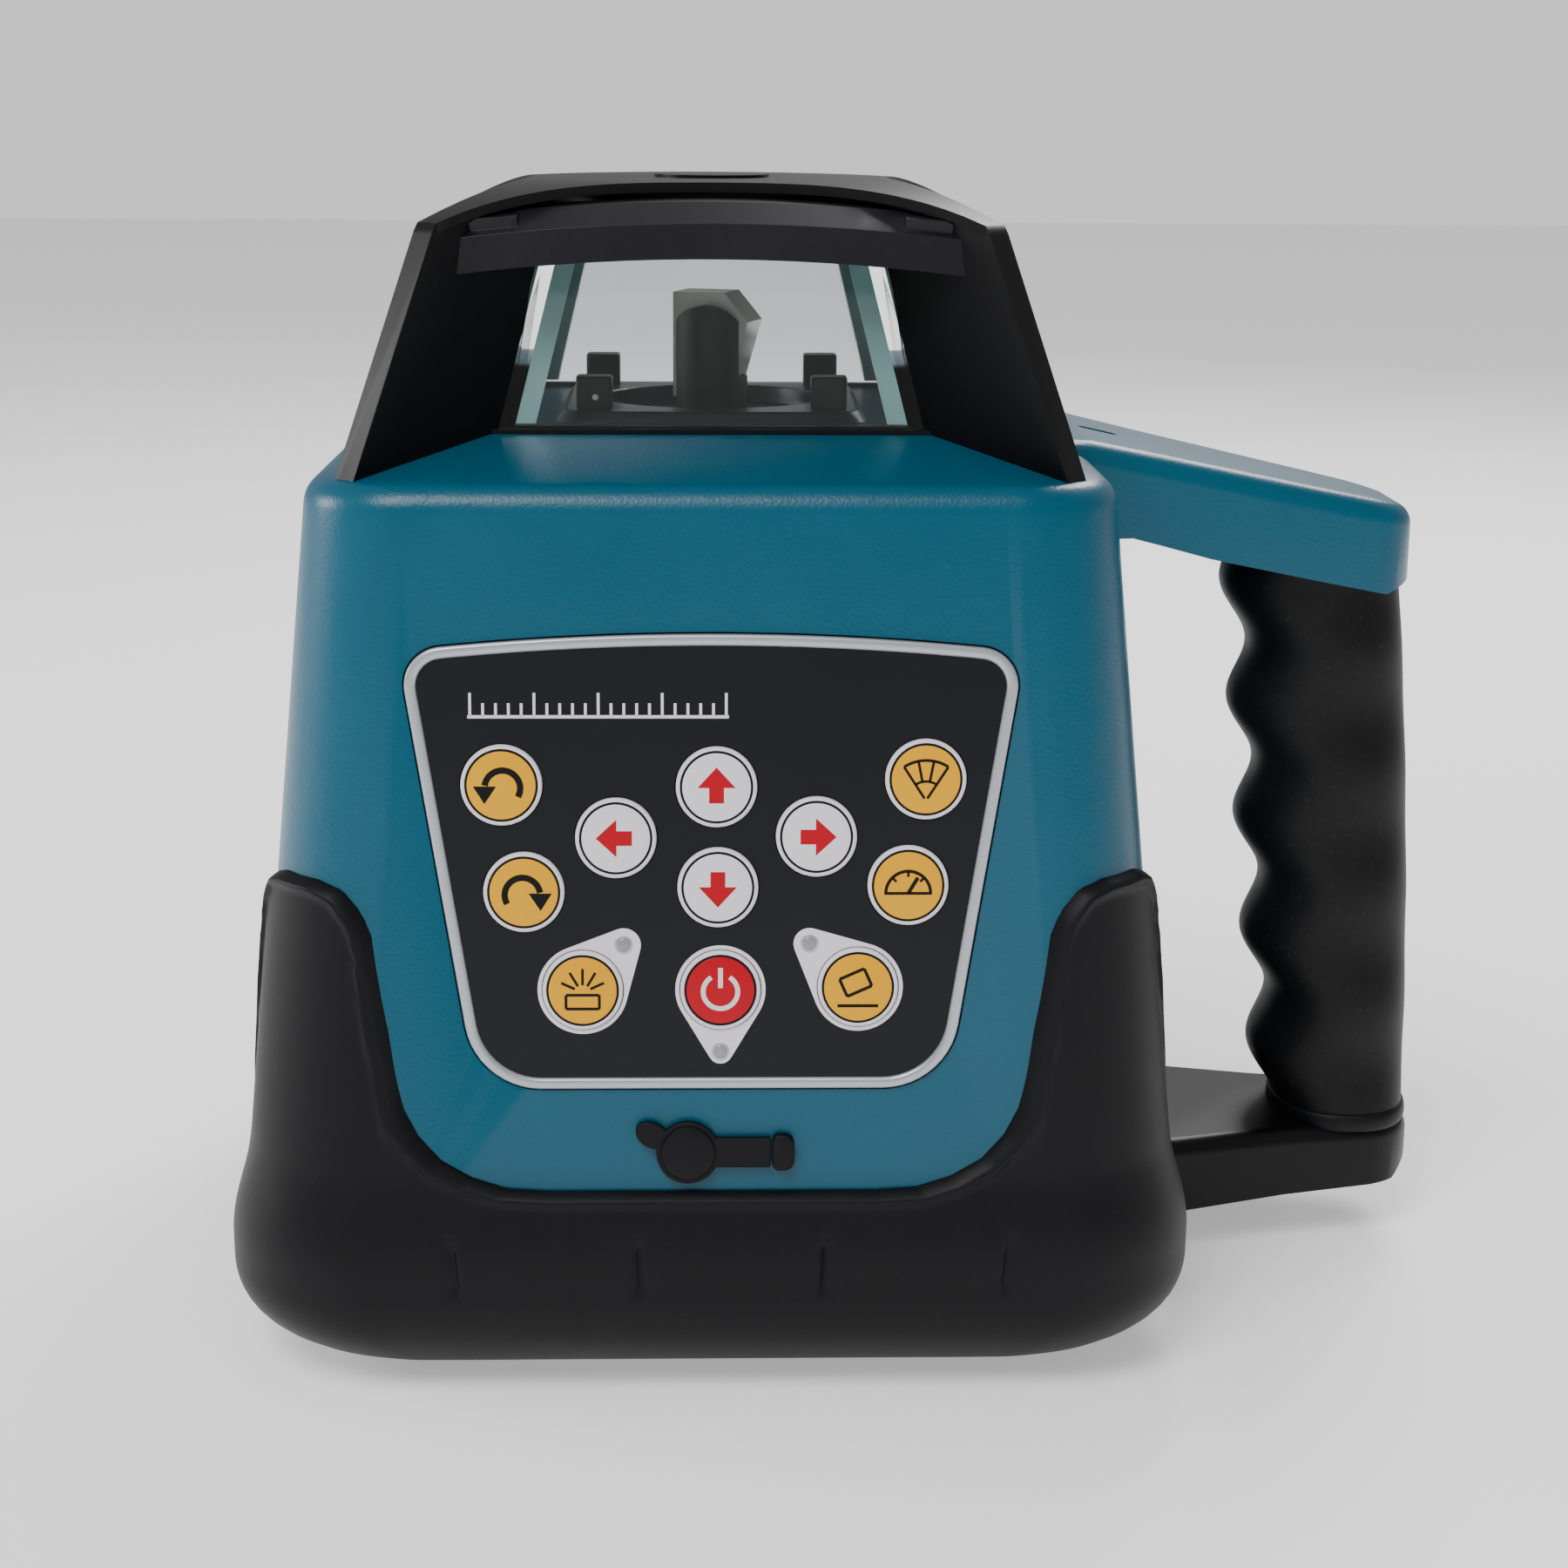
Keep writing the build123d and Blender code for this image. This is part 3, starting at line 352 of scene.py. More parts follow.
@dataclass(frozen=True)
class Finish:
    """One finish: its colours, gloss and grain. Lengths are millimetres."""

    name: str
    colour: tuple[float, float, float]
    deep: tuple[float, float, float]
    roughness: float = 0.5
    spread: float = 0.08
    grain: float = 0.35
    pebble: float = 0.6
    relief: float = 0.01
    marks: float = 0.1
    mark_colour: tuple[float, float, float] = (0.3, 0.3, 0.31)
    metallic: float = 0.0
    coat: float = 0.0
    transmission: float = 0.0
    ior: float = 1.48
    specular: float = 0.4

    def material(self, grain: bpy.types.NodeTree, wear: bpy.types.NodeTree) -> bpy.types.Material:
        """Builds the material: two tones under handling marks, uneven gloss and moulded relief."""
        made = bpy.data.materials.new(self.name)
        made.use_nodes = True
        tree = made.node_tree
        link = tree.links.new
        shader = tree.nodes["Principled BSDF"]
        shader.inputs["Metallic"].default_value = self.metallic
        shader.inputs["Coat Weight"].default_value = self.coat
        shader.inputs["Coat Roughness"].default_value = 0.25
        shader.inputs["Transmission Weight"].default_value = self.transmission
        shader.inputs["IOR"].default_value = self.ior
        shader.inputs["Specular IOR Level"].default_value = self.specular
        texture = node(tree, "ShaderNodeGroup", node_tree=grain)
        texture.inputs["Scale"].default_value = 1 / (self.grain * MM)
        texture.inputs["Pebble"].default_value = self.pebble
        tones = node(tree, "ShaderNodeMix", data_type="RGBA")
        tones.inputs[6].default_value = (*self.deep, 1)
        tones.inputs[7].default_value = (*self.colour, 1)
        link(texture.outputs["Tone"], tones.inputs[0])
        gloss = node(tree, "ShaderNodeMapRange")
        gloss.inputs["To Min"].default_value = max(self.roughness - self.spread, 0.02)
        gloss.inputs["To Max"].default_value = self.roughness + self.spread
        link(texture.outputs["Tone"], gloss.inputs["Value"])
        link(gloss.outputs[0], shader.inputs["Roughness"])
        marks = node(tree, "ShaderNodeGroup", node_tree=wear)
        marks.inputs["Amount"].default_value = self.marks
        marked = node(tree, "ShaderNodeMix", data_type="RGBA")
        marked.inputs[7].default_value = (*self.mark_colour, 1)
        link(marks.outputs["Mask"], marked.inputs[0])
        link(tones.outputs[2], marked.inputs[6])
        link(marked.outputs[2], shader.inputs["Base Color"])
        bump = node(tree, "ShaderNodeBump")
        bump.inputs["Strength"].default_value = 1.0
        bump.inputs["Distance"].default_value = self.relief * MM
        link(texture.outputs["Height"], bump.inputs["Height"])
        link(bump.outputs[0], shader.inputs["Normal"])
        return made


class Look(Enum):
    """Every finish on the object."""

    TEAL = Finish(
        "teal_moulding", (0.0, 0.088, 0.148), (0.0, 0.072, 0.122),
        roughness=0.34, spread=0.06, grain=0.5, pebble=0.8, relief=0.035, marks=0.015,
        mark_colour=(0.05, 0.25, 0.33),
    )
    # Painted shade: the turret cover is the housing's teal plastic, darkened to the shade it sits in under
    # the roof inside the lantern.
    TURRET_SHADED = Finish(
        "teal_moulding_painted_shade", (0.001, 0.012, 0.024), (0.001, 0.008, 0.016),
        roughness=0.3, spread=0.05, grain=0.5, pebble=0.7, marks=0.02, specular=0.35,
    )
    BLACK = Finish(
        "black_moulding", (0.003, 0.003, 0.004), (0.0015, 0.0015, 0.002),
        roughness=0.38, grain=0.4, pebble=0.5, relief=0.008, marks=0.02, mark_colour=(0.05, 0.05, 0.055),
        specular=0.22,
    )
    # Painted light: the roof cap is the same black plastic as the lantern frame, lightened to the dark grey
    # its lit hood shows.
    VISOR_LIT_GREY = Finish(
        "black_moulding_painted_lit_grey", (0.009, 0.008, 0.012), (0.005, 0.0045, 0.007),
        roughness=0.42, grain=0.3, pebble=0.5, relief=0.008, marks=0.05, mark_colour=(0.08, 0.08, 0.09),
        specular=0.3,
    )
    RUBBER = Finish(
        "black_rubber", (0.004, 0.004, 0.0055), (0.002, 0.002, 0.003),
        grain=0.45, relief=0.02, marks=0.05, mark_colour=(0.05, 0.05, 0.055), specular=0.22,
    )
    GRIP = Finish(
        "grip_rubber", (0.0045, 0.0045, 0.0055), (0.0025, 0.0025, 0.003),
        spread=0.1, grain=0.5, relief=0.025, mark_colour=(0.07, 0.07, 0.075), specular=0.22,
    )
    PANEL = Finish(
        "panel_film", (0.006, 0.0065, 0.009), (0.004, 0.0045, 0.0065),
        roughness=0.35, spread=0.04, grain=0.25, pebble=0.3, relief=0.003, marks=0.01,
        mark_colour=(0.05, 0.05, 0.06), specular=0.25,
    )
    SILVER = Finish(
        "silver_trim", (0.5, 0.52, 0.56), (0.42, 0.44, 0.48),
        roughness=0.34, spread=0.06, grain=0.2, pebble=0.2, relief=0.003, marks=0.04,
        mark_colour=(0.7, 0.7, 0.72), metallic=0.6,
    )
    WHITE = Finish(
        "white_print", (0.82, 0.78, 0.82), (0.76, 0.72, 0.77),
        roughness=0.4, spread=0.05, grain=0.3, pebble=0.3, relief=0.003, marks=0.01,
    )
    YELLOW = Finish(
        "yellow_print", (0.86, 0.42, 0.0), (0.76, 0.35, 0.0),
        roughness=0.4, spread=0.05, grain=0.3, pebble=0.3, relief=0.003, marks=0.01, specular=0.2,
    )
    RED = Finish(
        "red_print", (0.5, 0.0, 0.014), (0.43, 0.0, 0.01),
        roughness=0.4, spread=0.05, grain=0.3, pebble=0.3, relief=0.003, marks=0.01, specular=0.2,
    )
    INK = Finish(
        "black_print", (0.004, 0.004, 0.005), (0.002, 0.002, 0.003),
        roughness=0.45, spread=0.05, grain=0.3, pebble=0.3, relief=0.002, marks=0.01,
        mark_colour=(0.05, 0.05, 0.05), specular=0.2,
    )
    LAMP = Finish(
        "lamp_lens", (0.3, 0.31, 0.33), (0.24, 0.25, 0.27),
        roughness=0.25, spread=0.05, grain=0.3, pebble=0.3, relief=0.003, marks=0.02, coat=0.4,
    )
    GLASS = Finish(
        "window_glass", (0.95, 0.99, 0.985), (0.93, 0.98, 0.975),
        roughness=0.02, spread=0.005, grain=0.8, pebble=0.1, relief=0.0, marks=0.0,
        mark_colour=(0.9, 0.9, 0.9), transmission=1.0,
    )
    # Painted reflection: a pale glass-green colour for strips that stand for the neighbouring panes'
    # reflections.
    PANE_GLINT = Finish(
        "painted_pane_glint", (0.42, 0.66, 0.64), (0.26, 0.5, 0.5),
        roughness=0.18, grain=0.5, pebble=0.3, relief=0.004, marks=0.02, mark_colour=(0.8, 0.9, 0.9),
        coat=0.5,
    )
    PRISM = Finish(
        "prism_glass", (0.62, 0.6, 0.5), (0.42, 0.4, 0.34),
        roughness=0.2, spread=0.06, grain=0.5, pebble=0.2, relief=0.002, marks=0.02,
        mark_colour=(0.4, 0.4, 0.38), coat=0.4,
    )
    STEEL = Finish(
        "turned_steel", (0.5, 0.5, 0.51), (0.38, 0.38, 0.4),
        roughness=0.3, grain=0.15, pebble=0.2, relief=0.004, marks=0.05, metallic=1.0,
    )
    ALLOY = Finish(
        "cast_alloy", (0.55, 0.56, 0.57), (0.45, 0.46, 0.47),
        roughness=0.42, grain=0.4, relief=0.015, marks=0.05, metallic=1.0,
    )
    BRASS = Finish(
        "turned_brass", (0.72, 0.5, 0.2), (0.6, 0.4, 0.15),
        roughness=0.28, grain=0.15, pebble=0.2, relief=0.004, marks=0.05, metallic=1.0,
    )
    BOARD = Finish(
        "circuit_board", (0.015, 0.13, 0.05), (0.01, 0.09, 0.035),
        roughness=0.4, grain=0.3, pebble=0.2, marks=0.2, mark_colour=(0.5, 0.4, 0.12), coat=0.3,
    )
    CELL = Finish(
        "battery_wrap", (0.06, 0.12, 0.3), (0.04, 0.09, 0.22),
        roughness=0.35, spread=0.06, grain=0.6, pebble=0.2, marks=0.05, coat=0.3,
    )
    PLASTIC = Finish(
        "grey_moulding", (0.16, 0.16, 0.165), (0.12, 0.12, 0.125),
        grain=0.4, marks=0.05,
    )


class Paintbox:
    """Builds each finish once and puts it on pieces."""

    def __init__(self) -> None:
        """Makes the two shared shader groups."""
        self.grain, self.wear = grain_group(), wear_group()
        self.made: dict[Look, bpy.types.Material] = {}

    def dress(self, piece: bpy.types.Object, look: Look) -> bpy.types.Object:
        """Gives a piece one finish all over."""
        if look not in self.made:
            self.made[look] = look.value.material(self.grain, self.wear)
        piece.data.materials.clear()
        piece.data.materials.append(self.made[look])
        return piece


PAINT = Paintbox()


def finish_piece(
    piece: bpy.types.Object, look: Look, body: str, stands_for: tuple[str, ...] = ()
) -> bpy.types.Object:
    """Dresses a new piece, fixes it to its body and hides the frame nodes it stands for."""
    PAINT.dress(piece, look)
    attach(piece, body)
    if stands_for:
        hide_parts(*stands_for)
    LOG.info("%s rides on %s", piece.name, body)
    return piece


def softened(node_name: str, name: str, bevel: float) -> bpy.types.Object:
    """A copy of a frame node with its facets merged and its sharp edges rounded.

    Args:
        node_name: the frame node to copy.
        name: the new piece's name.
        bevel: width of the rounding in millimetres.

    Returns:
        The new object, with a live bevel on its sharp edges.
    """
    shape = bmesh.new()
    shape.from_mesh(frame["nodes"][node_name].data)
    bmesh.ops.remove_doubles(shape, verts=shape.verts, dist=WELD)
    bmesh.ops.dissolve_limit(shape, angle_limit=FLAT_ANGLE, verts=shape.verts, edges=shape.edges)
    mesh = bpy.data.meshes.new(name)
    shape.to_mesh(mesh)
    shape.free()
    mesh.polygons.foreach_set("use_smooth", np.ones(len(mesh.polygons), bool))
    mesh.set_sharp_from_angle(angle=EDGE_ANGLE)
    piece = bpy.data.objects.new(name, mesh)
    bpy.context.scene.collection.objects.link(piece)
    edge = piece.modifiers.new("edge", "BEVEL")
    edge.width = bevel * MM
    edge.segments = BEVEL_FACETS
    edge.limit_method = "ANGLE"
    edge.angle_limit = EDGE_ANGLE
    edge.use_clamp_overlap = True
    edge.harden_normals = True
    return piece


def corners(node_name: str) -> tuple[np.ndarray, np.ndarray]:
    """Lowest and highest corners of a frame node at rest, in millimetres."""
    low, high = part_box(node_name)
    return np.array(low) / MM, np.array(high) / MM


def centre(node_name: str) -> np.ndarray:
    """Middle of a frame node's box, in millimetres."""
    low, high = corners(node_name)
    return (low + high) / 2


def joint_axis(name: str) -> np.ndarray:
    """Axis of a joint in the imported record."""
    for joint in frame["record"]["behaviour"]["joints"]:
        if joint["name"] == name:
            return np.array(joint["axis"], float)
    raise KeyError(name)


def faceplate(key: str, depth: float, across: float, up_face: float) -> Place:
    """The sloping face that the keys stand on, with its origin level with the middle of the housing.

    Args:
        key: a key whose place on the face is known.
        depth: how far the middle of the key lies behind the face.
        across: the key's place across the face.
        up_face: the key's place up the face from the origin.
    """
    normal = -joint_axis(key.replace("key_", "press_"))
    up = np.cross(normal, (1.0, 0.0, 0.0))
    origin = centre(key) + normal * depth - up * up_face
    origin[0] -= across
    return Place(tuple(origin), (1.0, 0.0, 0.0), tuple(up))


FACE = faceplate("key_power", 1.358, 1.3, -18.956)


def on_face(node_name: str) -> np.ndarray:
    """A key's middle in flat coordinates on the face; the middle of its upright box lies KEY_SAG too low."""
    away = centre(node_name) - np.array(FACE.origin)
    return np.array([away @ np.array(FACE.right), away @ np.array(FACE.up) + KEY_SAG])


# ------------------------------------------------------------------ sub-assemblies
@dataclass
class Shells:
    """Frame nodes whose shape is right and whose edges are rounded: cases, covers and guards."""

    rounded_nodes: dict[str, tuple[Look, str, float]] = field(
        default_factory=lambda: {
            "housing_shell": (Look.TEAL, "teal_plastic", 0.7),
            # The turret cover's finish is teal plastic with painted shade.
            "turret_cover": (Look.TURRET_SHADED, "teal_plastic", 0.35),
            "sensor_posts": (Look.BLACK, "black_plastic", 0.4),
            "lantern_frame": (Look.BLACK, "black_plastic", 0.55),
            # The roof cap's finish is black plastic with painted light.
            "roof_cap": (Look.VISOR_LIT_GREY, "black_plastic", 0.35),
            "base_tray": (Look.BLACK, "black_plastic", 0.6),
            "foot_plate": (Look.ALLOY, "silver", 0.5),
            "prism_holder": (Look.BLACK, "black_plastic", 0.25),
            "battery_door": (Look.TEAL, "teal_plastic", 0.5),
            "door_knob": (Look.BLACK, "black_plastic", 0.35),
            "port_flap": (Look.RUBBER, "black_rubber", 0.35),
        }
    )

    def build(self) -> None:
        """Rounds and dresses every shell on the body that its node belongs to."""
        owners = {n: b for b, members in frame["record"]["behaviour"]["bodies"].items() for n in members}
        for node_name, (look, slot, width) in self.rounded_nodes.items():
            piece = softened(node_name, f"{node_name}_skin", width)
            finish_piece(piece, look, owners[node_name], (node_name,))


@dataclass
class Boot:
    """Rubber boot: a bulging band round the base, with ears over the corners, a rolled lip and grooves."""

    low_z: float = 2.0
    under_round: float = 16.0
    bulge_half: float = 78.9
    bulge_z: float = 21.0
    bulge_round: float = 24.0
    shelf_z: float = 35.0
    shelf_round: float = 20.6
    proud: float = 1.4
    lip: float = 0.65
    lip_drop: float = 1.3
    lip_wide: float = 0.9
    groove_pitch: float = 29.3
    groove_shift: float = 3.0
    groove_deep: float = 0.8
    groove_wide: float = 0.75
    groove_reach: float = 54.0
    side_half: float = 55.0
    buried: float = 0.8
    inner_z: float = 14.0
    inner_half: float = 69.0
    hole_half: float = 60.6
    hole_round: float = 14.0
    case_half: float = 69.5
    case_mid_z: float = 86.0
    case_lean: float = 0.095
    case_round: float = 19.6
    ear_z: float = 60.0
    ear_round: float = 21.0
    side_steps: int = 84
    corner_steps: int = 28
    height_steps: int = 77
    edge_in: tuple[float, ...] = (
        0, 25, 31.5, 36.9, 41.8, 45.5, 48.1, 49.6, 51.1, 53.1, 54.8, 56.6, 59.8, 64, 80
    )
    edge_z: tuple[float, ...] = (
        35, 35, 35.4, 37.1, 39.9, 43.8, 48.3, 53.3, 60.4, 68, 76.3, 79.6, 82.8, 84, 84
    )

    def wall_half(self, z: np.ndarray) -> np.ndarray:
        """Half the case's width at height z: the walls lean in as they rise."""
        return self.case_half + (self.case_mid_z - z) * self.case_lean

    def outer_half(self, z: np.ndarray) -> np.ndarray:
        """Half the boot's width: a quarter round below, the bulge, a soft shelf, then a skin on the case."""
        drop = np.clip(self.low_z + self.under_round - z, 0, self.under_round)
        under = self.bulge_half - self.under_round + np.sqrt(self.under_round**2 - drop**2)
        skin = self.wall_half(z) + self.proud
        ease = np.clip((z - self.bulge_z) / (self.shelf_z + 3 - self.bulge_z), 0, 1)
        ease = ease * ease * (3 - 2 * ease)
        return under * (1 - ease) + skin * ease

    def radius(self, z: np.ndarray) -> np.ndarray:
        """Corner radius: widest at the bulge, easing to the case's own at the top of the ears."""
        heights = [self.bulge_z, self.shelf_z, self.edge_z[-1]]
        return np.interp(z, heights, [self.bulge_round, self.shelf_round, self.case_round])

    def columns(self) -> tuple[np.ndarray, np.ndarray]:
        """For each column round a rounded square, its place along the sides and its outward direction."""
        run = np.linspace(0, 1, self.side_steps, endpoint=False)
        arc = np.linspace(0, math.pi / 2, self.corner_steps + 1)
        rise = np.stack([np.ones_like(run), run], 1)
        back = np.stack([run[:0:-1], np.ones_like(run[1:])], 1)
        place = np.concatenate([rise, np.ones((len(arc), 2)), back])
        turn = np.stack([np.cos(arc), np.sin(arc)], 1)
        ahead, across = np.tile([1.0, 0.0], (len(rise), 1)), np.tile([0.0, 1.0], (len(back), 1))
        lean = np.concatenate([ahead, turn, across])
        places, leans = [], []
        for k in range(4):
            c, s = round(math.cos(k * math.pi / 2)), round(math.sin(k * math.pi / 2))
            turned = np.array([[c, s], [-s, c]])
            places.append(place @ turned)
            leans.append(lean @ turned)
        return np.concatenate(places), np.concatenate(leans)

    def edge(self, along: np.ndarray) -> np.ndarray:
        """Height of the upper edge at a distance along a side, measured from the side's middle."""
        return np.interp(along, self.edge_in, self.edge_z)

    def grooves(self, place: np.ndarray, lean: np.ndarray, z: np.ndarray) -> np.ndarray:
        """Depth of the short upright grooves, each a bell curve across, faded out at both ends."""
        side = place[:, 0] * (np.abs(lean[:, 1]) > 0.99) + place[:, 1] * (np.abs(lean[:, 0]) > 0.99)
        past_reach = 500 * (np.abs(lean).max(axis=1) < 0.99)
        spot = side * self.side_half + past_reach
        pitch = self.groove_pitch
        near = np.abs((spot - self.groove_shift + pitch) % pitch - pitch / 2)
        window = np.clip((z - 18) / 2, 0, 1) * np.clip((29 - z) / 3, 0, 1)
        bell = np.exp(-((near / self.groove_wide) ** 2))
        return self.groove_deep * bell[None, :] * window * (np.abs(spot) < self.groove_reach)[None, :]

    def build(self) -> None:
        """Carries a closed section round the columns.

        A column climbs the outer surface to the edge curve, rolls over the lip into the case and
        goes back down out of sight. The lip's height is a bell curve of the distance below the edge.
        """
        place, lean = self.columns()
        away = np.abs(place * (self.wall_half(self.ear_z) - self.case_round) + lean * self.ear_round)
        along = away.min(axis=1)
        top = self.edge(along)[None, :]
        slope = np.abs(self.edge(along + 0.6) - self.edge(along - 0.6))
        steep = 1 / np.sqrt(1 + (slope / 1.2) ** 2)
        share = 1 - (1 - np.linspace(0, 1, self.height_steps + 1)) ** 1.6
        z = self.low_z + (top - 0.9 - self.low_z) * share[:, None]
        below = (top - z) * steep[None, :]
        bead = self.lip * np.exp(-(((below - self.lip_drop) / self.lip_wide) ** 2))
        half = self.outer_half(z) + bead - self.grooves(place, lean, z)
        rolls = [(0.35, -0.25), (0.05, -0.8), (0.0, -1.3), (0.3, -2.2)]
        low = [top - drop for drop, _ in rolls]
        roll_half = [self.outer_half(v) + inset for v, (_, inset) in zip(low, rolls)]
        in_z = [self.inner_z + (top - self.inner_z - 1.5) * f for f in (1.0, 0.6, 0.3, 0.0)]
        in_z.append(np.full_like(top, self.low_z))
        in_half = [self.wall_half(v) - self.buried for v in in_z[:-2]]
        in_half += [np.full_like(top, self.inner_half), np.full_like(top, self.hole_half)]
        in_round = [self.radius(v) for v in low + in_z[:-1]] + [np.full_like(top, self.hole_round)]
        corner = np.concatenate([self.radius(z)] + in_round)
        half = np.concatenate([half] + roll_half + in_half)
        z = np.concatenate([z] + low + in_z)
        flat = place[None] * (half - corner)[..., None] + lean[None] * corner[..., None]
        rings = np.concatenate([flat, z[..., None]], axis=-1)
        piece = stack("boot_band", rings, closed=True, sharp=50)
        finish_piece(piece, Look.RUBBER, "housing", ("rubber_boot",))


@dataclass
class Grip:
    """Rubber handle: an oval column with finger waves on the inner side and a collar at its foot."""

    foot_z: float = 21.0
    top_z: float = 125.5
    half_deep: float = 14.0
    deep_wave: float = 0.5
    wave: float = 2.05
    wave_z: float = 76.6
    pitch: float = 21.6
    squareness: float = 2.35
    inner_x: float = 96.95
    inner_lean: float = 0.103
    outer_x: float = 125.6
    outer_z: float = 77.0
    outer_lean: float = 0.068
    outer_bow: float = 0.0005
    collar_z: float = 22.3
    collar_half: float = 1.7
    collar_swell: float = 0.055

    def outline(self, z: np.ndarray) -> np.ndarray:
        """Rings of a superellipse between the waved inner side and the bowed outer side."""
        ripple = np.cos(TURN * (z - self.wave_z) / self.pitch)
        rise = self.outer_z - z
        inner = self.inner_x + self.inner_lean * (self.wave_z - z) - self.wave * ripple
        outer = self.outer_x + self.outer_lean * rise - self.outer_bow * rise**2
        a = np.linspace(0, TURN, 96, endpoint=False)[None, :]
        power = 2 / self.squareness
        c, s = np.cos(a), np.sin(a)
        x = (inner + outer)[:, None] / 2 + (outer - inner)[:, None] / 2 * np.sign(c) * np.abs(c) ** power
        y = (self.half_deep - self.deep_wave * ripple)[:, None] * np.sign(s) * np.abs(s) ** power
        return np.stack([x, y, np.broadcast_to(z[:, None], x.shape)], -1)

    def build(self) -> None:
        """Builds the column and its collar, which stays inside the frame's box."""
        column = stack("grip_column", self.outline(np.linspace(self.foot_z, self.top_z, 150)))
        finish_piece(column, Look.GRIP, "housing", ("handle_grip",))
        rise = np.sin(np.linspace(-1, 1, 15) * math.pi / 2)
        rings = self.outline(self.collar_z + self.collar_half * rise)
        middle = rings.mean(axis=1, keepdims=True)
        swell = 1 + self.collar_swell * np.sqrt(np.clip(1 - rise**2, 0, 1))
        rings[..., :2] = middle[..., :2] + (rings[..., :2] - middle[..., :2]) * swell[:, None, None]
        rings[..., 0] = np.minimum(rings[..., 0], CAD_BOX[1][0] / MM - 0.05)
        finish_piece(stack("grip_collar", rings), Look.RUBBER, "housing")


class Ink(Enum):
    """Key colourings: cap centre and icon."""

    YELLOW = (Look.YELLOW, "yellow_plastic", Look.INK)
    WHITE = (Look.WHITE, "white_plastic", Look.RED)
    RED = (Look.RED, "red_plastic", Look.WHITE)


def block_arrow(turn: float) -> list[np.ndarray]:
    """A short block arrow pointing up, turned anticlockwise by degrees."""
    right = [(1.15, -2.5), (1.15, -0.1), (2.95, -0.1)]
    left = [(-x, y) for x, y in reversed(right)]
    shape = np.array(left[-1:] + right + [(0, 3.1)] + left[:-1])
    c, s = math.cos(math.radians(turn)), math.sin(math.radians(turn))
    return [shape @ np.array([[c, s], [-s, c]])]


def turn_arrow(side: int) -> list[np.ndarray]:
    """A curved arrow over the top, its head on the left (side 1) or the right (side -1)."""
    arc = arc_path(0.2, -0.4, 2.75, -30, 172)
    head = np.array([(-4.35, -0.15), (-0.75, -0.15), (-2.6, -2.9)])
    flip = np.array([side, 1])
    return [stroke(arc * flip, 1.0), head * flip]


def fan() -> list[np.ndarray]:
    """A fan of rays from a point, closed by two arcs."""
    x, y = 0.0, -3.3
    lines = [stroke(arc_path(x, y, 6.3, 57, 123), 0.45), stroke(arc_path(x, y, 3.0, 57, 123), 0.4)]
    for angle in (57, 79, 101, 123):
        c, s = math.cos(math.radians(angle)), math.sin(math.radians(angle))
        start = 0.4 if angle in (57, 123) else 3.0
        lines.append(stroke([(x + start * c, y + start * s), (x + 6.3 * c, y + 6.3 * s)], 0.42))
    return lines


def dial() -> list[np.ndarray]:
    """A half-round dial with ticks and a pointer."""
    lines = [stroke(arc_path(0, -1.2, 3.5, 0, 180), 0.5), stroke([(-3.7, -1.2), (3.7, -1.2)], 0.45)]
    for angle in (45, 90, 135):
        c, s = math.cos(math.radians(angle)), math.sin(math.radians(angle))
        lines.append(stroke([(2.6 * c, -1.2 + 2.6 * s), (3.4 * c, -1.2 + 3.4 * s)], 0.4))
    lines.append(stroke([(0, -1.2), (1.5, 1.3)], 0.6))
    return lines


def beam_box() -> list[np.ndarray]:
    """A box with five rays rising from it."""
    box = [(-2.6, -2.9), (2.6, -2.9), (2.6, -0.7), (-2.6, -0.7)]
    lines = [stroke([box[i], box[(i + 1) % 4]], 0.45) for i in range(4)]
    for angle in (22, 56, 90, 124, 158):
        c, s = math.cos(math.radians(angle)), math.sin(math.radians(angle))
        lines.append(stroke([(1.3 * c, -0.1 + 1.0 * s), (3.6 * c, -0.1 + 3.6 * s)], 0.42))
    return lines


def tilted_box() -> list[np.ndarray]:
    """A leaning box over a level line."""
    c, s = math.cos(math.radians(24)), math.sin(math.radians(24))
    box = np.array([(-2.1, -0.6), (2.1, -0.6), (2.1, 2.4), (-2.1, 2.4)]) @ np.array([[c, s], [-s, c]])
    lines = [stroke([box[i], box[(i + 1) % 4]], 0.5) for i in range(4)]
    return lines + [stroke([(-3.2, -2.9), (3.2, -2.9)], 0.5)]


def power_sign() -> list[np.ndarray]:
    """A ring open at its top with an upright bar in the gap."""
    return [stroke(arc_path(0, -0.2, 2.7, 122, 418, 40), 0.75), stroke([(0, 0.4), (0, 3.6)], 0.75)]


@dataclass(frozen=True)
class KeyStyle:
    """How one key is coloured and marked, and which way its lamp surround points."""

    ink: Ink
    icon: Callable[[], list[np.ndarray]]
    lamp: int | None = None


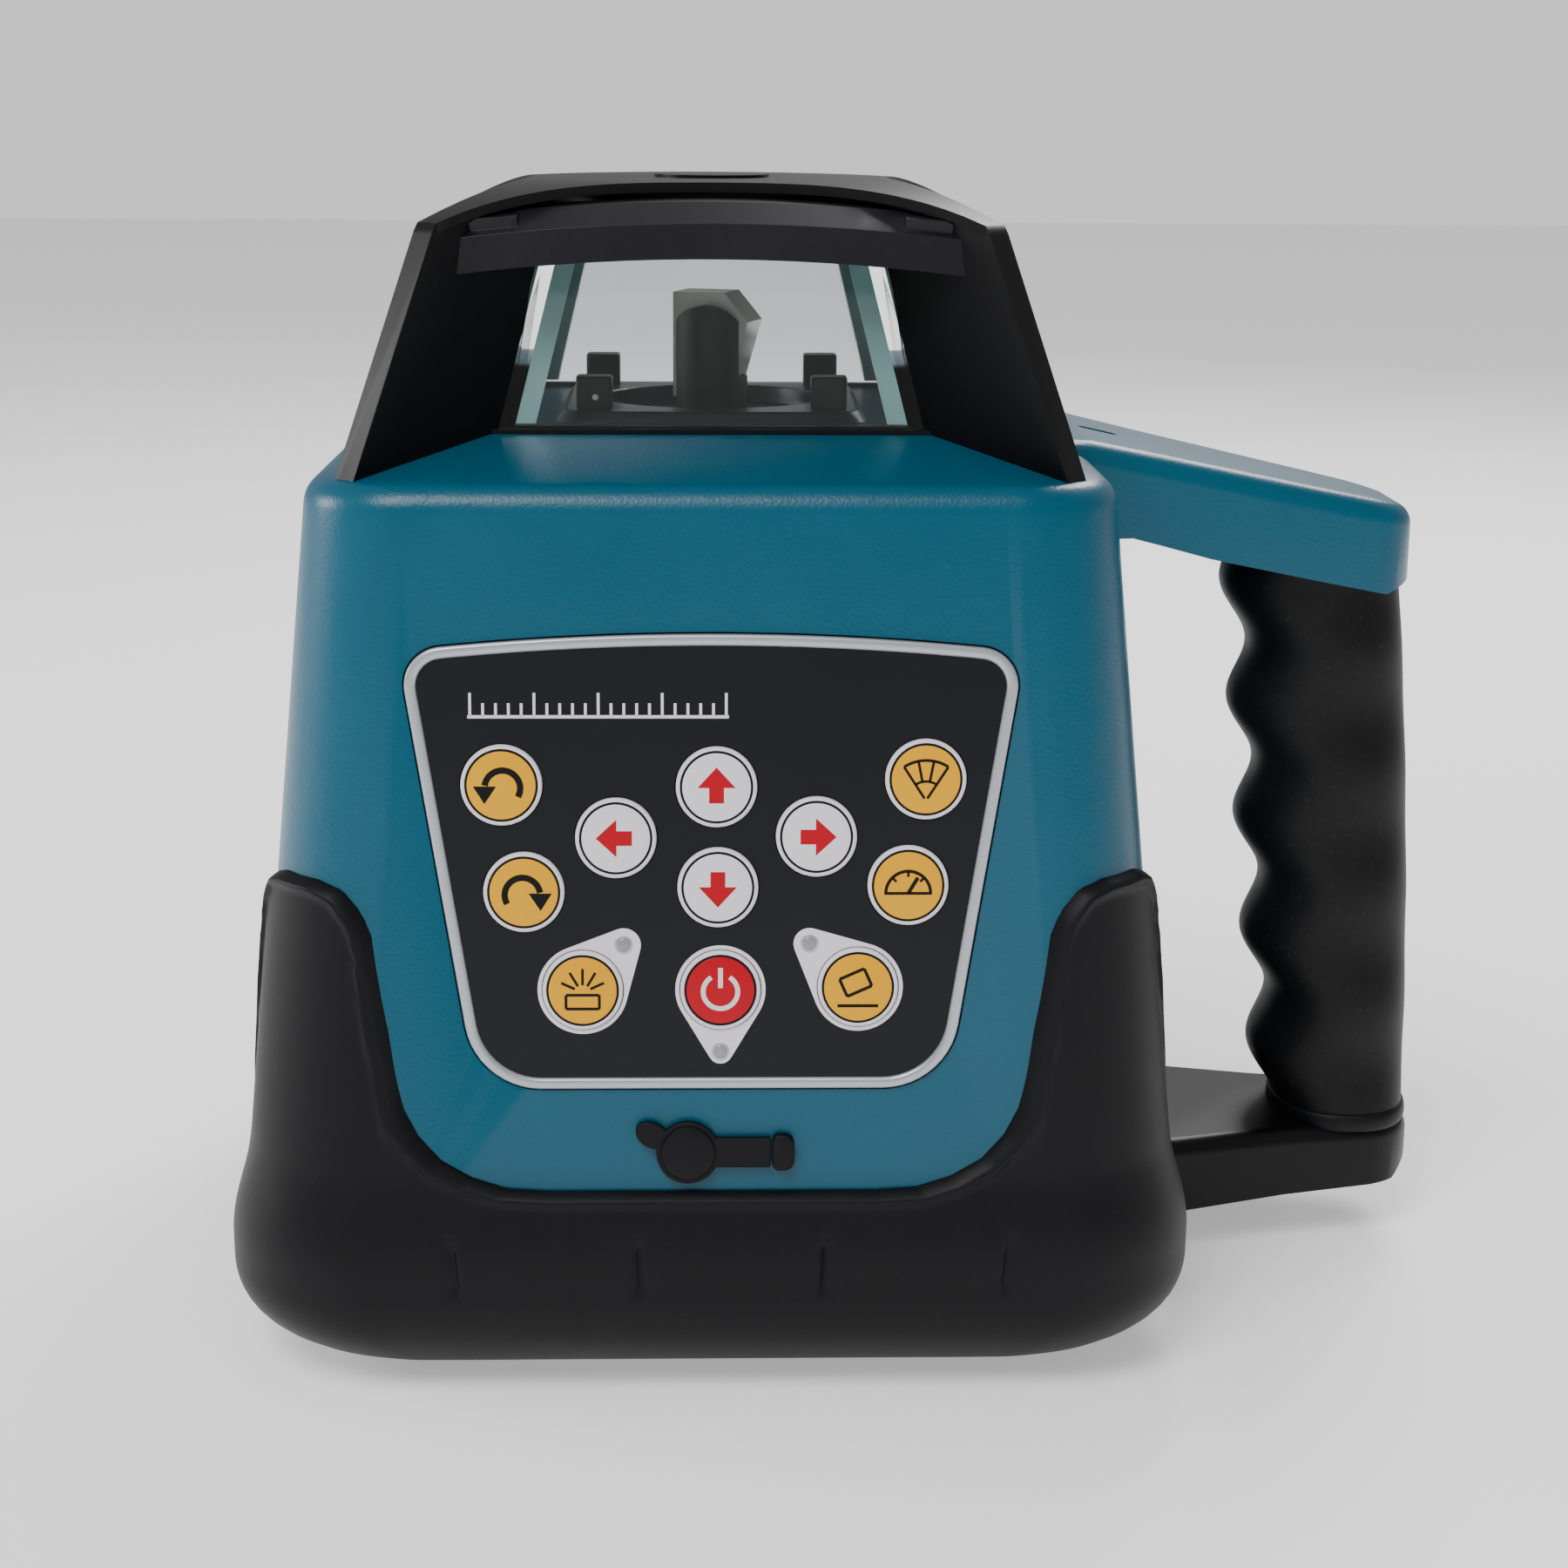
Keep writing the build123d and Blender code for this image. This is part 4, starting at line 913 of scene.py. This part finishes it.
@dataclass
class Keypad:
    """Silver bezel round the panel film, eleven keys, white surrounds, three lamps and a graduated line."""

    key_r: float = 6.3
    ring_r: float = 5.66
    disc_r: float = 5.3
    film_h: float = 0.3
    bezel_wide: float = 1.8
    lamps: tuple[tuple[float, float, float], ...] = (
        (-13.8, -11.7, 2.7), (1.3, -28.8, 1.9), (15.2, -11.5, 2.5)
    )
    styles: dict[str, KeyStyle] = field(
        default_factory=lambda: {
            "turn_left": KeyStyle(Ink.YELLOW, lambda: turn_arrow(1)),
            "turn_right": KeyStyle(Ink.YELLOW, lambda: turn_arrow(-1)),
            "up": KeyStyle(Ink.WHITE, lambda: block_arrow(0)),
            "left": KeyStyle(Ink.WHITE, lambda: block_arrow(90)),
            "right": KeyStyle(Ink.WHITE, lambda: block_arrow(-90)),
            "down": KeyStyle(Ink.WHITE, lambda: block_arrow(180)),
            "scan": KeyStyle(Ink.YELLOW, fan),
            "speed": KeyStyle(Ink.YELLOW, dial),
            "mode": KeyStyle(Ink.YELLOW, beam_box, 0),
            "power": KeyStyle(Ink.RED, power_sign, 1),
            "sleep": KeyStyle(Ink.YELLOW, tilted_box, 2),
        }
    )

    def panel(self) -> np.ndarray:
        """The panel's outline: narrower below, with a slightly arched top."""
        radius = (48.2**2 + 2.7**2) / (2 * 2.7)
        x = np.linspace(40, -40, 17)
        arch = [(a, 37 - radius + math.sqrt(radius**2 - a**2), 0.0) for a in x]
        return rounded([(37, -34.7, 12), (48.2, 34.3, 6), *arch, (-48.2, 34.3, 6), (-37, -34.7, 12)], 12)

    def build_bezel(self) -> None:
        """Sweeps the bezel's rounded section round the panel's outline."""
        outline = self.panel()
        normal = outward(outline)
        section = [(0, -2), (0, 0.35), (0.08, 0.58), (0.28, 0.75), (0.55, 0.8), (1.2, 0.8), (1.5, 0.72),
                   (1.7, 0.52), (self.bezel_wide, 0.3), (self.bezel_wide, -2)]
        rings = np.array([FACE.lift(outline - normal * inset, height) for inset, height in section])
        piece = stack("bezel_ring", rings, closed=True)
        finish_piece(piece, Look.SILVER, "housing", ("keypad_bezel",))

    def build_key(self, label: str, style: KeyStyle) -> None:
        """Builds one key: a white rim, a dark ring, a coloured disc and its icon."""
        node_name, body = f"key_{label}", f"button_{label}"
        x, y = on_face(node_name)
        rim = [(0, -2.3), (0, 0.6), (0.1, 0.8), (0.28, 0.93), (0.46, 0.96), (0.58, 0.92), (0.62, 0.82)]
        cap = slab(f"{node_name}_rim", circle(x, y, self.key_r, 72), FACE, rim)
        finish_piece(cap, Look.WHITE, body, (node_name,))
        ring = slab(f"{node_name}_ring", circle(x, y, self.ring_r, 72), FACE, [(0, 0.7), (0, 0.88)])
        finish_piece(ring, Look.INK, body)
        look, slot, icon_look = style.ink.value
        disc = slab(f"{node_name}_disc", circle(x, y, self.disc_r, 72), FACE,
                    [(0, 0.8), (0, 0.92), (0.06, 0.97), (0.18, 1.0)])
        finish_piece(disc, look, body)
        parts = [slab(f"{node_name}_mark{i}", shape + np.array([x, y]), FACE, [(0, 0.9), (0, 1.03)])
                 for i, shape in enumerate(style.icon())]
        finish_piece(joined(f"{node_name}_icon", parts), icon_look, body)

    def build_surround(self, label: str, lamp: tuple[float, float, float]) -> None:
        """Builds the white print round a key that runs out to its lamp.

        The outline is the hull of a circle round the key and one round the lamp, and the print is a
        ring between that outline and the key's hole. The lamp's lens stands up through it.
        """
        x, y = on_face(f"key_{label}")
        a = np.linspace(0, TURN, 160, endpoint=False)
        away = np.array([lamp[0] - x, lamp[1] - y])
        reach = np.linalg.norm(away)
        facing = np.cos(a - math.atan2(away[1], away[0]))
        wide, tip = self.key_r + 0.75, lamp[2]
        lean = math.asin((wide - tip) / reach)
        angle = np.arccos(np.clip(facing, -1, 1))
        tangent = wide / np.cos(np.clip(angle - (math.pi / 2 - lean), -1.2, 1.2))
        across = reach * np.sin(angle)
        end = reach * np.cos(angle) + np.sqrt(np.clip(tip**2 - across**2, 0, None))
        touch = math.atan2(tip * math.cos(lean), reach + tip * math.sin(lean))
        radius = np.where(angle < touch, end, np.where(angle < math.pi / 2 - lean, tangent, wide))
        outer = np.stack([x + radius * np.cos(a), y + radius * np.sin(a)], 1)
        inner = np.stack([x + 6.45 * np.cos(a), y + 6.45 * np.sin(a)], 1)
        low, high = self.film_h - 0.1, self.film_h + 0.05
        rings = [FACE.lift(outer, low), FACE.lift(outer, high), FACE.lift(inner, high), FACE.lift(inner, low)]
        piece = stack(f"surround_{label}", np.array(rings), closed=True)
        finish_piece(piece, Look.WHITE, "housing")

    def build_lamps(self) -> None:
        """Builds the three domed lamp lenses, each in a thin silver ring."""
        lenses, rims = [], []
        for i, (x, y, _) in enumerate(self.lamps):
            dome = [(0, -1.0), (0, 0.42), (0.12, 0.52), (0.32, 0.6), (0.6, 0.65), (0.9, 0.67)]
            lenses.append(slab(f"lens{i}", circle(x, y, 1.12, 40), FACE, dome))
            rims.append(slab(f"rim{i}", circle(x, y, 1.42, 40), FACE, [(0, 0.2), (0, 0.4), (0.08, 0.44)]))
        finish_piece(joined("lamp_lenses", lenses), Look.LAMP, "housing", ("status_lights",))
        finish_piece(joined("lamp_rims", rims), Look.SILVER, "housing")

    def build_line(self) -> None:
        """Builds the printed line of graduations over the keys."""
        parts = [slab("line", stroke([(-37.6, 24.2), (2.6, 24.2)], 0.5), FACE, [(0, 0.2), (0, 0.36)])]
        for i, x in enumerate(np.linspace(-37.2, 2.2, 21)):
            tall = 3.6 if i % 5 == 0 else 2.0
            mark = stroke([(x, 24.3), (x, 24.3 + tall)], 0.42)
            parts.append(slab(f"tick{i}", mark, FACE, [(0, 0.2), (0, 0.36)]))
        finish_piece(joined("graduated_line", parts), Look.WHITE, "housing")

    def build(self) -> None:
        """Builds every piece of the keypad."""
        self.build_bezel()
        for label, style in self.styles.items():
            self.build_key(label, style)
            if style.lamp is not None:
                self.build_surround(label, self.lamps[style.lamp])
        self.build_lamps()
        self.build_line()


@dataclass
class SmallParts:
    """Little raised details: the flap's button and root, and the white sensor dot."""

    plug: tuple[float, float] = (-3.8, -44.9)
    root: tuple[float, float] = (11.2, -44.9)

    def build(self) -> None:
        """Builds each detail on the body that it belongs to."""
        x, y = self.plug
        crown = [(0, 1.2), (0, 1.75), (0.2, 2.0), (0.6, 2.1)]
        button = slab("flap_button", circle(x, y, 4.3, 56), FACE, crown)
        finish_piece(button, Look.RUBBER, "flap")
        x, y = self.root
        wide, tall = 1.75, 2.9
        blob = rounded([(x - wide, y - tall, 1.1), (x + wide, y - tall, 1.6), (x + wide, y + tall, 1.6),
                        (x - wide, y + tall, 1.1)], 8)
        root = slab("flap_root", blob, FACE, edge_levels(-0.3, 1.9, 0.5))
        finish_piece(root, Look.RUBBER, "housing", ("flap_anchor",))
        low, _ = corners("sensor_posts")
        post = Place((low[0] + 3.2, low[1], low[2] + 2.1), (1.0, 0.0, 0.0), (0.0, 0.0, 1.0))
        dot = slab("sensor_dot", circle(0, 0, 0.5, 24), post, [(0, -0.3), (0, 0.04), (0.1, 0.1)])
        finish_piece(dot, Look.WHITE, "housing")


@dataclass
class Windows:
    """Painted reflection: pale glass-green strips behind the ends of the four panes, where they run into the
    corner fins, stand for light reflected by the neighbouring panes.
    """

    low_z: float = 151.2
    top_z: float = 178.2
    wide: float = 5.4
    thick: float = 0.7
    slant: float = 7.0 / 27.7
    behind: float = 2.6
    end_gap: float = 1.0

    def build(self) -> None:
        """Builds a slanted strip behind both ends of each pane."""
        low, _ = corners("window_panes")
        parts = []
        for quarter in range(4):
            for side in (-1, 1):
                rows = []
                for z in np.linspace(self.low_z, self.top_z, 12):
                    half = -low[0] - self.slant * (z - low[2]) - self.behind
                    end = half - self.end_gap
                    x = np.array([end, end - self.wide, end - self.wide + 0.2, end - 0.1]) * side
                    y = np.array([-half, -half, -half + self.thick, -half + self.thick])
                    rows.append(np.stack([x, y, np.full(4, z)], 1))
                rings = np.array(rows)
                c, s = round(math.cos(quarter * math.pi / 2)), round(math.sin(quarter * math.pi / 2))
                rings[..., :2] = rings[..., :2] @ np.array([[c, s], [-s, c]])
                parts.append(stack(f"strip{quarter}{side}", rings))
        # The strips are painted reflections of the neighbouring panes, not real glass edges.
        finish_piece(joined("painted_pane_glints", parts), Look.PANE_GLINT, "housing")


@dataclass
class FrameParts:
    """Frame nodes that keep their own shape and take a finish."""

    looks: dict[str, Look] = field(
        default_factory=lambda: {
            "foot_screws": Look.STEEL, "tripod_insert": Look.BRASS, "handle_core": Look.ALLOY,
            "handle_screw": Look.STEEL, "window_panes": Look.GLASS, "window_seal": Look.RUBBER,
            "keypad_membrane": Look.PANEL, "keypad_board": Look.BOARD, "charge_jack": Look.BLACK,
            "door_hinge_pin": Look.STEEL, "battery_pack": Look.CELL, "battery_cradle": Look.PLASTIC,
            "battery_contacts": Look.BRASS, "control_board": Look.BOARD, "chassis_plate": Look.ALLOY,
            "gimbal_brackets": Look.ALLOY, "level_motors": Look.STEEL, "gimbal_ring": Look.ALLOY,
            "gimbal_pins": Look.STEEL, "laser_barrel": Look.ALLOY, "drive_motor": Look.STEEL,
            "drive_belt": Look.RUBBER, "spindle_bearings": Look.STEEL, "laser_diode": Look.BRASS,
            "collimator_lens": Look.GLASS, "level_vials": Look.GLASS, "rotor_spindle": Look.STEEL,
            "pentaprism": Look.PRISM, "motor_pulley": Look.BRASS, "level_screw_x": Look.STEEL,
            "level_screw_y": Look.STEEL, "level_nut_x": Look.BRASS, "level_nut_y": Look.BRASS,
        }
    )

    def build(self) -> None:
        """Gives each kept node its finish."""
        for node_name, look in self.looks.items():
            PAINT.dress(frame["nodes"][node_name], look)


@dataclass
class Studio:
    """Pale floor, soft light and the camera."""

    lens: float = 63.0
    stand: tuple[float, float, float] = (0.0, -0.480, 0.2037)
    pitch: float = 14.18
    yaw: float = 1.55
    roll: float = 0.35
    fill: float = 0.38
    backdrop: float = 0.9
    floor_half: float = 4.0
    floor_glow: float = 0.42

    def build_floor(self) -> None:
        """Lays a wide plain floor under the foot."""
        mesh = bpy.data.meshes.new("floor")
        far = self.floor_half
        mesh.from_pydata([(-far, -far, 0), (far, -far, 0), (far, far, 0), (-far, far, 0)], [], [(0, 1, 2, 3)])
        floor = bpy.data.objects.new("floor", mesh)
        bpy.context.scene.collection.objects.link(floor)
        paint = bpy.data.materials.new("floor_paint")
        paint.use_nodes = True
        shader = paint.node_tree.nodes["Principled BSDF"]
        shader.inputs["Base Color"].default_value = (0.9, 0.9, 0.9, 1)
        shader.inputs["Roughness"].default_value = 0.8
        shader.inputs["Emission Color"].default_value = (1, 1, 1, 1)
        shader.inputs["Emission Strength"].default_value = self.floor_glow
        mesh.materials.append(paint)

    def build_lights(self) -> None:
        """Hangs large soft lights and fills the room with white, which the camera sees brighter."""
        world = bpy.data.worlds.new("room")
        world.use_nodes = True
        world.node_tree.nodes["Background"].inputs["Color"].default_value = (1, 1, 1, 1)
        room = world.node_tree
        seen = node(room, "ShaderNodeLightPath")
        strength = node(room, "ShaderNodeMath", operation="MULTIPLY_ADD")
        strength.inputs[1].default_value = self.backdrop - self.fill
        strength.inputs[2].default_value = self.fill
        room.links.new(seen.outputs["Is Camera Ray"], strength.inputs[0])
        room.links.new(strength.outputs[0], room.nodes["Background"].inputs["Strength"])
        bpy.context.scene.world = world
        for name, spot, aim, size, power in (
            ("key_light", (-0.5, -1.0, 1.5), (0, 0, 0.1), 0.8, 24),
            ("shoulder_light", (0.45, 0.9, 0.95), (0, 0, 0.14), 0.5, 12),
            ("left_light", (-1.2, 0.15, 0.45), (0, 0, 0.1), 0.4, 7),
        ):
            light = bpy.data.lights.new(name, "AREA")
            light.energy, light.size = power, size
            lamp = bpy.data.objects.new(name, light)
            toward = Vector(aim) - Vector(spot)
            turned = toward.to_track_quat("-Z", "Y").to_matrix().to_4x4()
            lamp.matrix_world = Matrix.Translation(spot) @ turned
            bpy.context.scene.collection.objects.link(lamp)

    def build_camera(self) -> None:
        """Stands the camera in front of the keypad, looking slightly down."""
        p, y, r = (math.radians(v) for v in (self.pitch, self.yaw, self.roll))
        ahead = Vector((math.sin(y) * math.cos(p), math.cos(y) * math.cos(p), -math.sin(p)))
        right = Vector((math.cos(y), -math.sin(y), 0))
        up = right.cross(ahead)
        right2 = right * math.cos(r) + up * math.sin(r)
        up2 = up * math.cos(r) - right * math.sin(r)
        lens = bpy.data.cameras.new("camera")
        lens.lens, lens.sensor_width = self.lens, 36.0
        camera = bpy.data.objects.new("camera", lens)
        turned = Matrix((right2, up2, -ahead)).transposed().to_4x4()
        camera.matrix_world = Matrix.Translation(self.stand) @ turned
        bpy.context.scene.collection.objects.link(camera)
        bpy.context.scene.camera = camera

    def build(self) -> None:
        """Builds the whole studio."""
        self.build_floor()
        self.build_lights()
        self.build_camera()


def main() -> None:
    """Builds the classes in order."""
    logging.basicConfig(level=logging.INFO, format="%(name)s: %(message)s")
    for part in (Studio(), FrameParts(), Shells(), Boot(), Grip(), Keypad(), SmallParts(), Windows()):
        LOG.info("building %s", type(part).__name__)
        part.build()


if __name__ == "__main__":
    main()
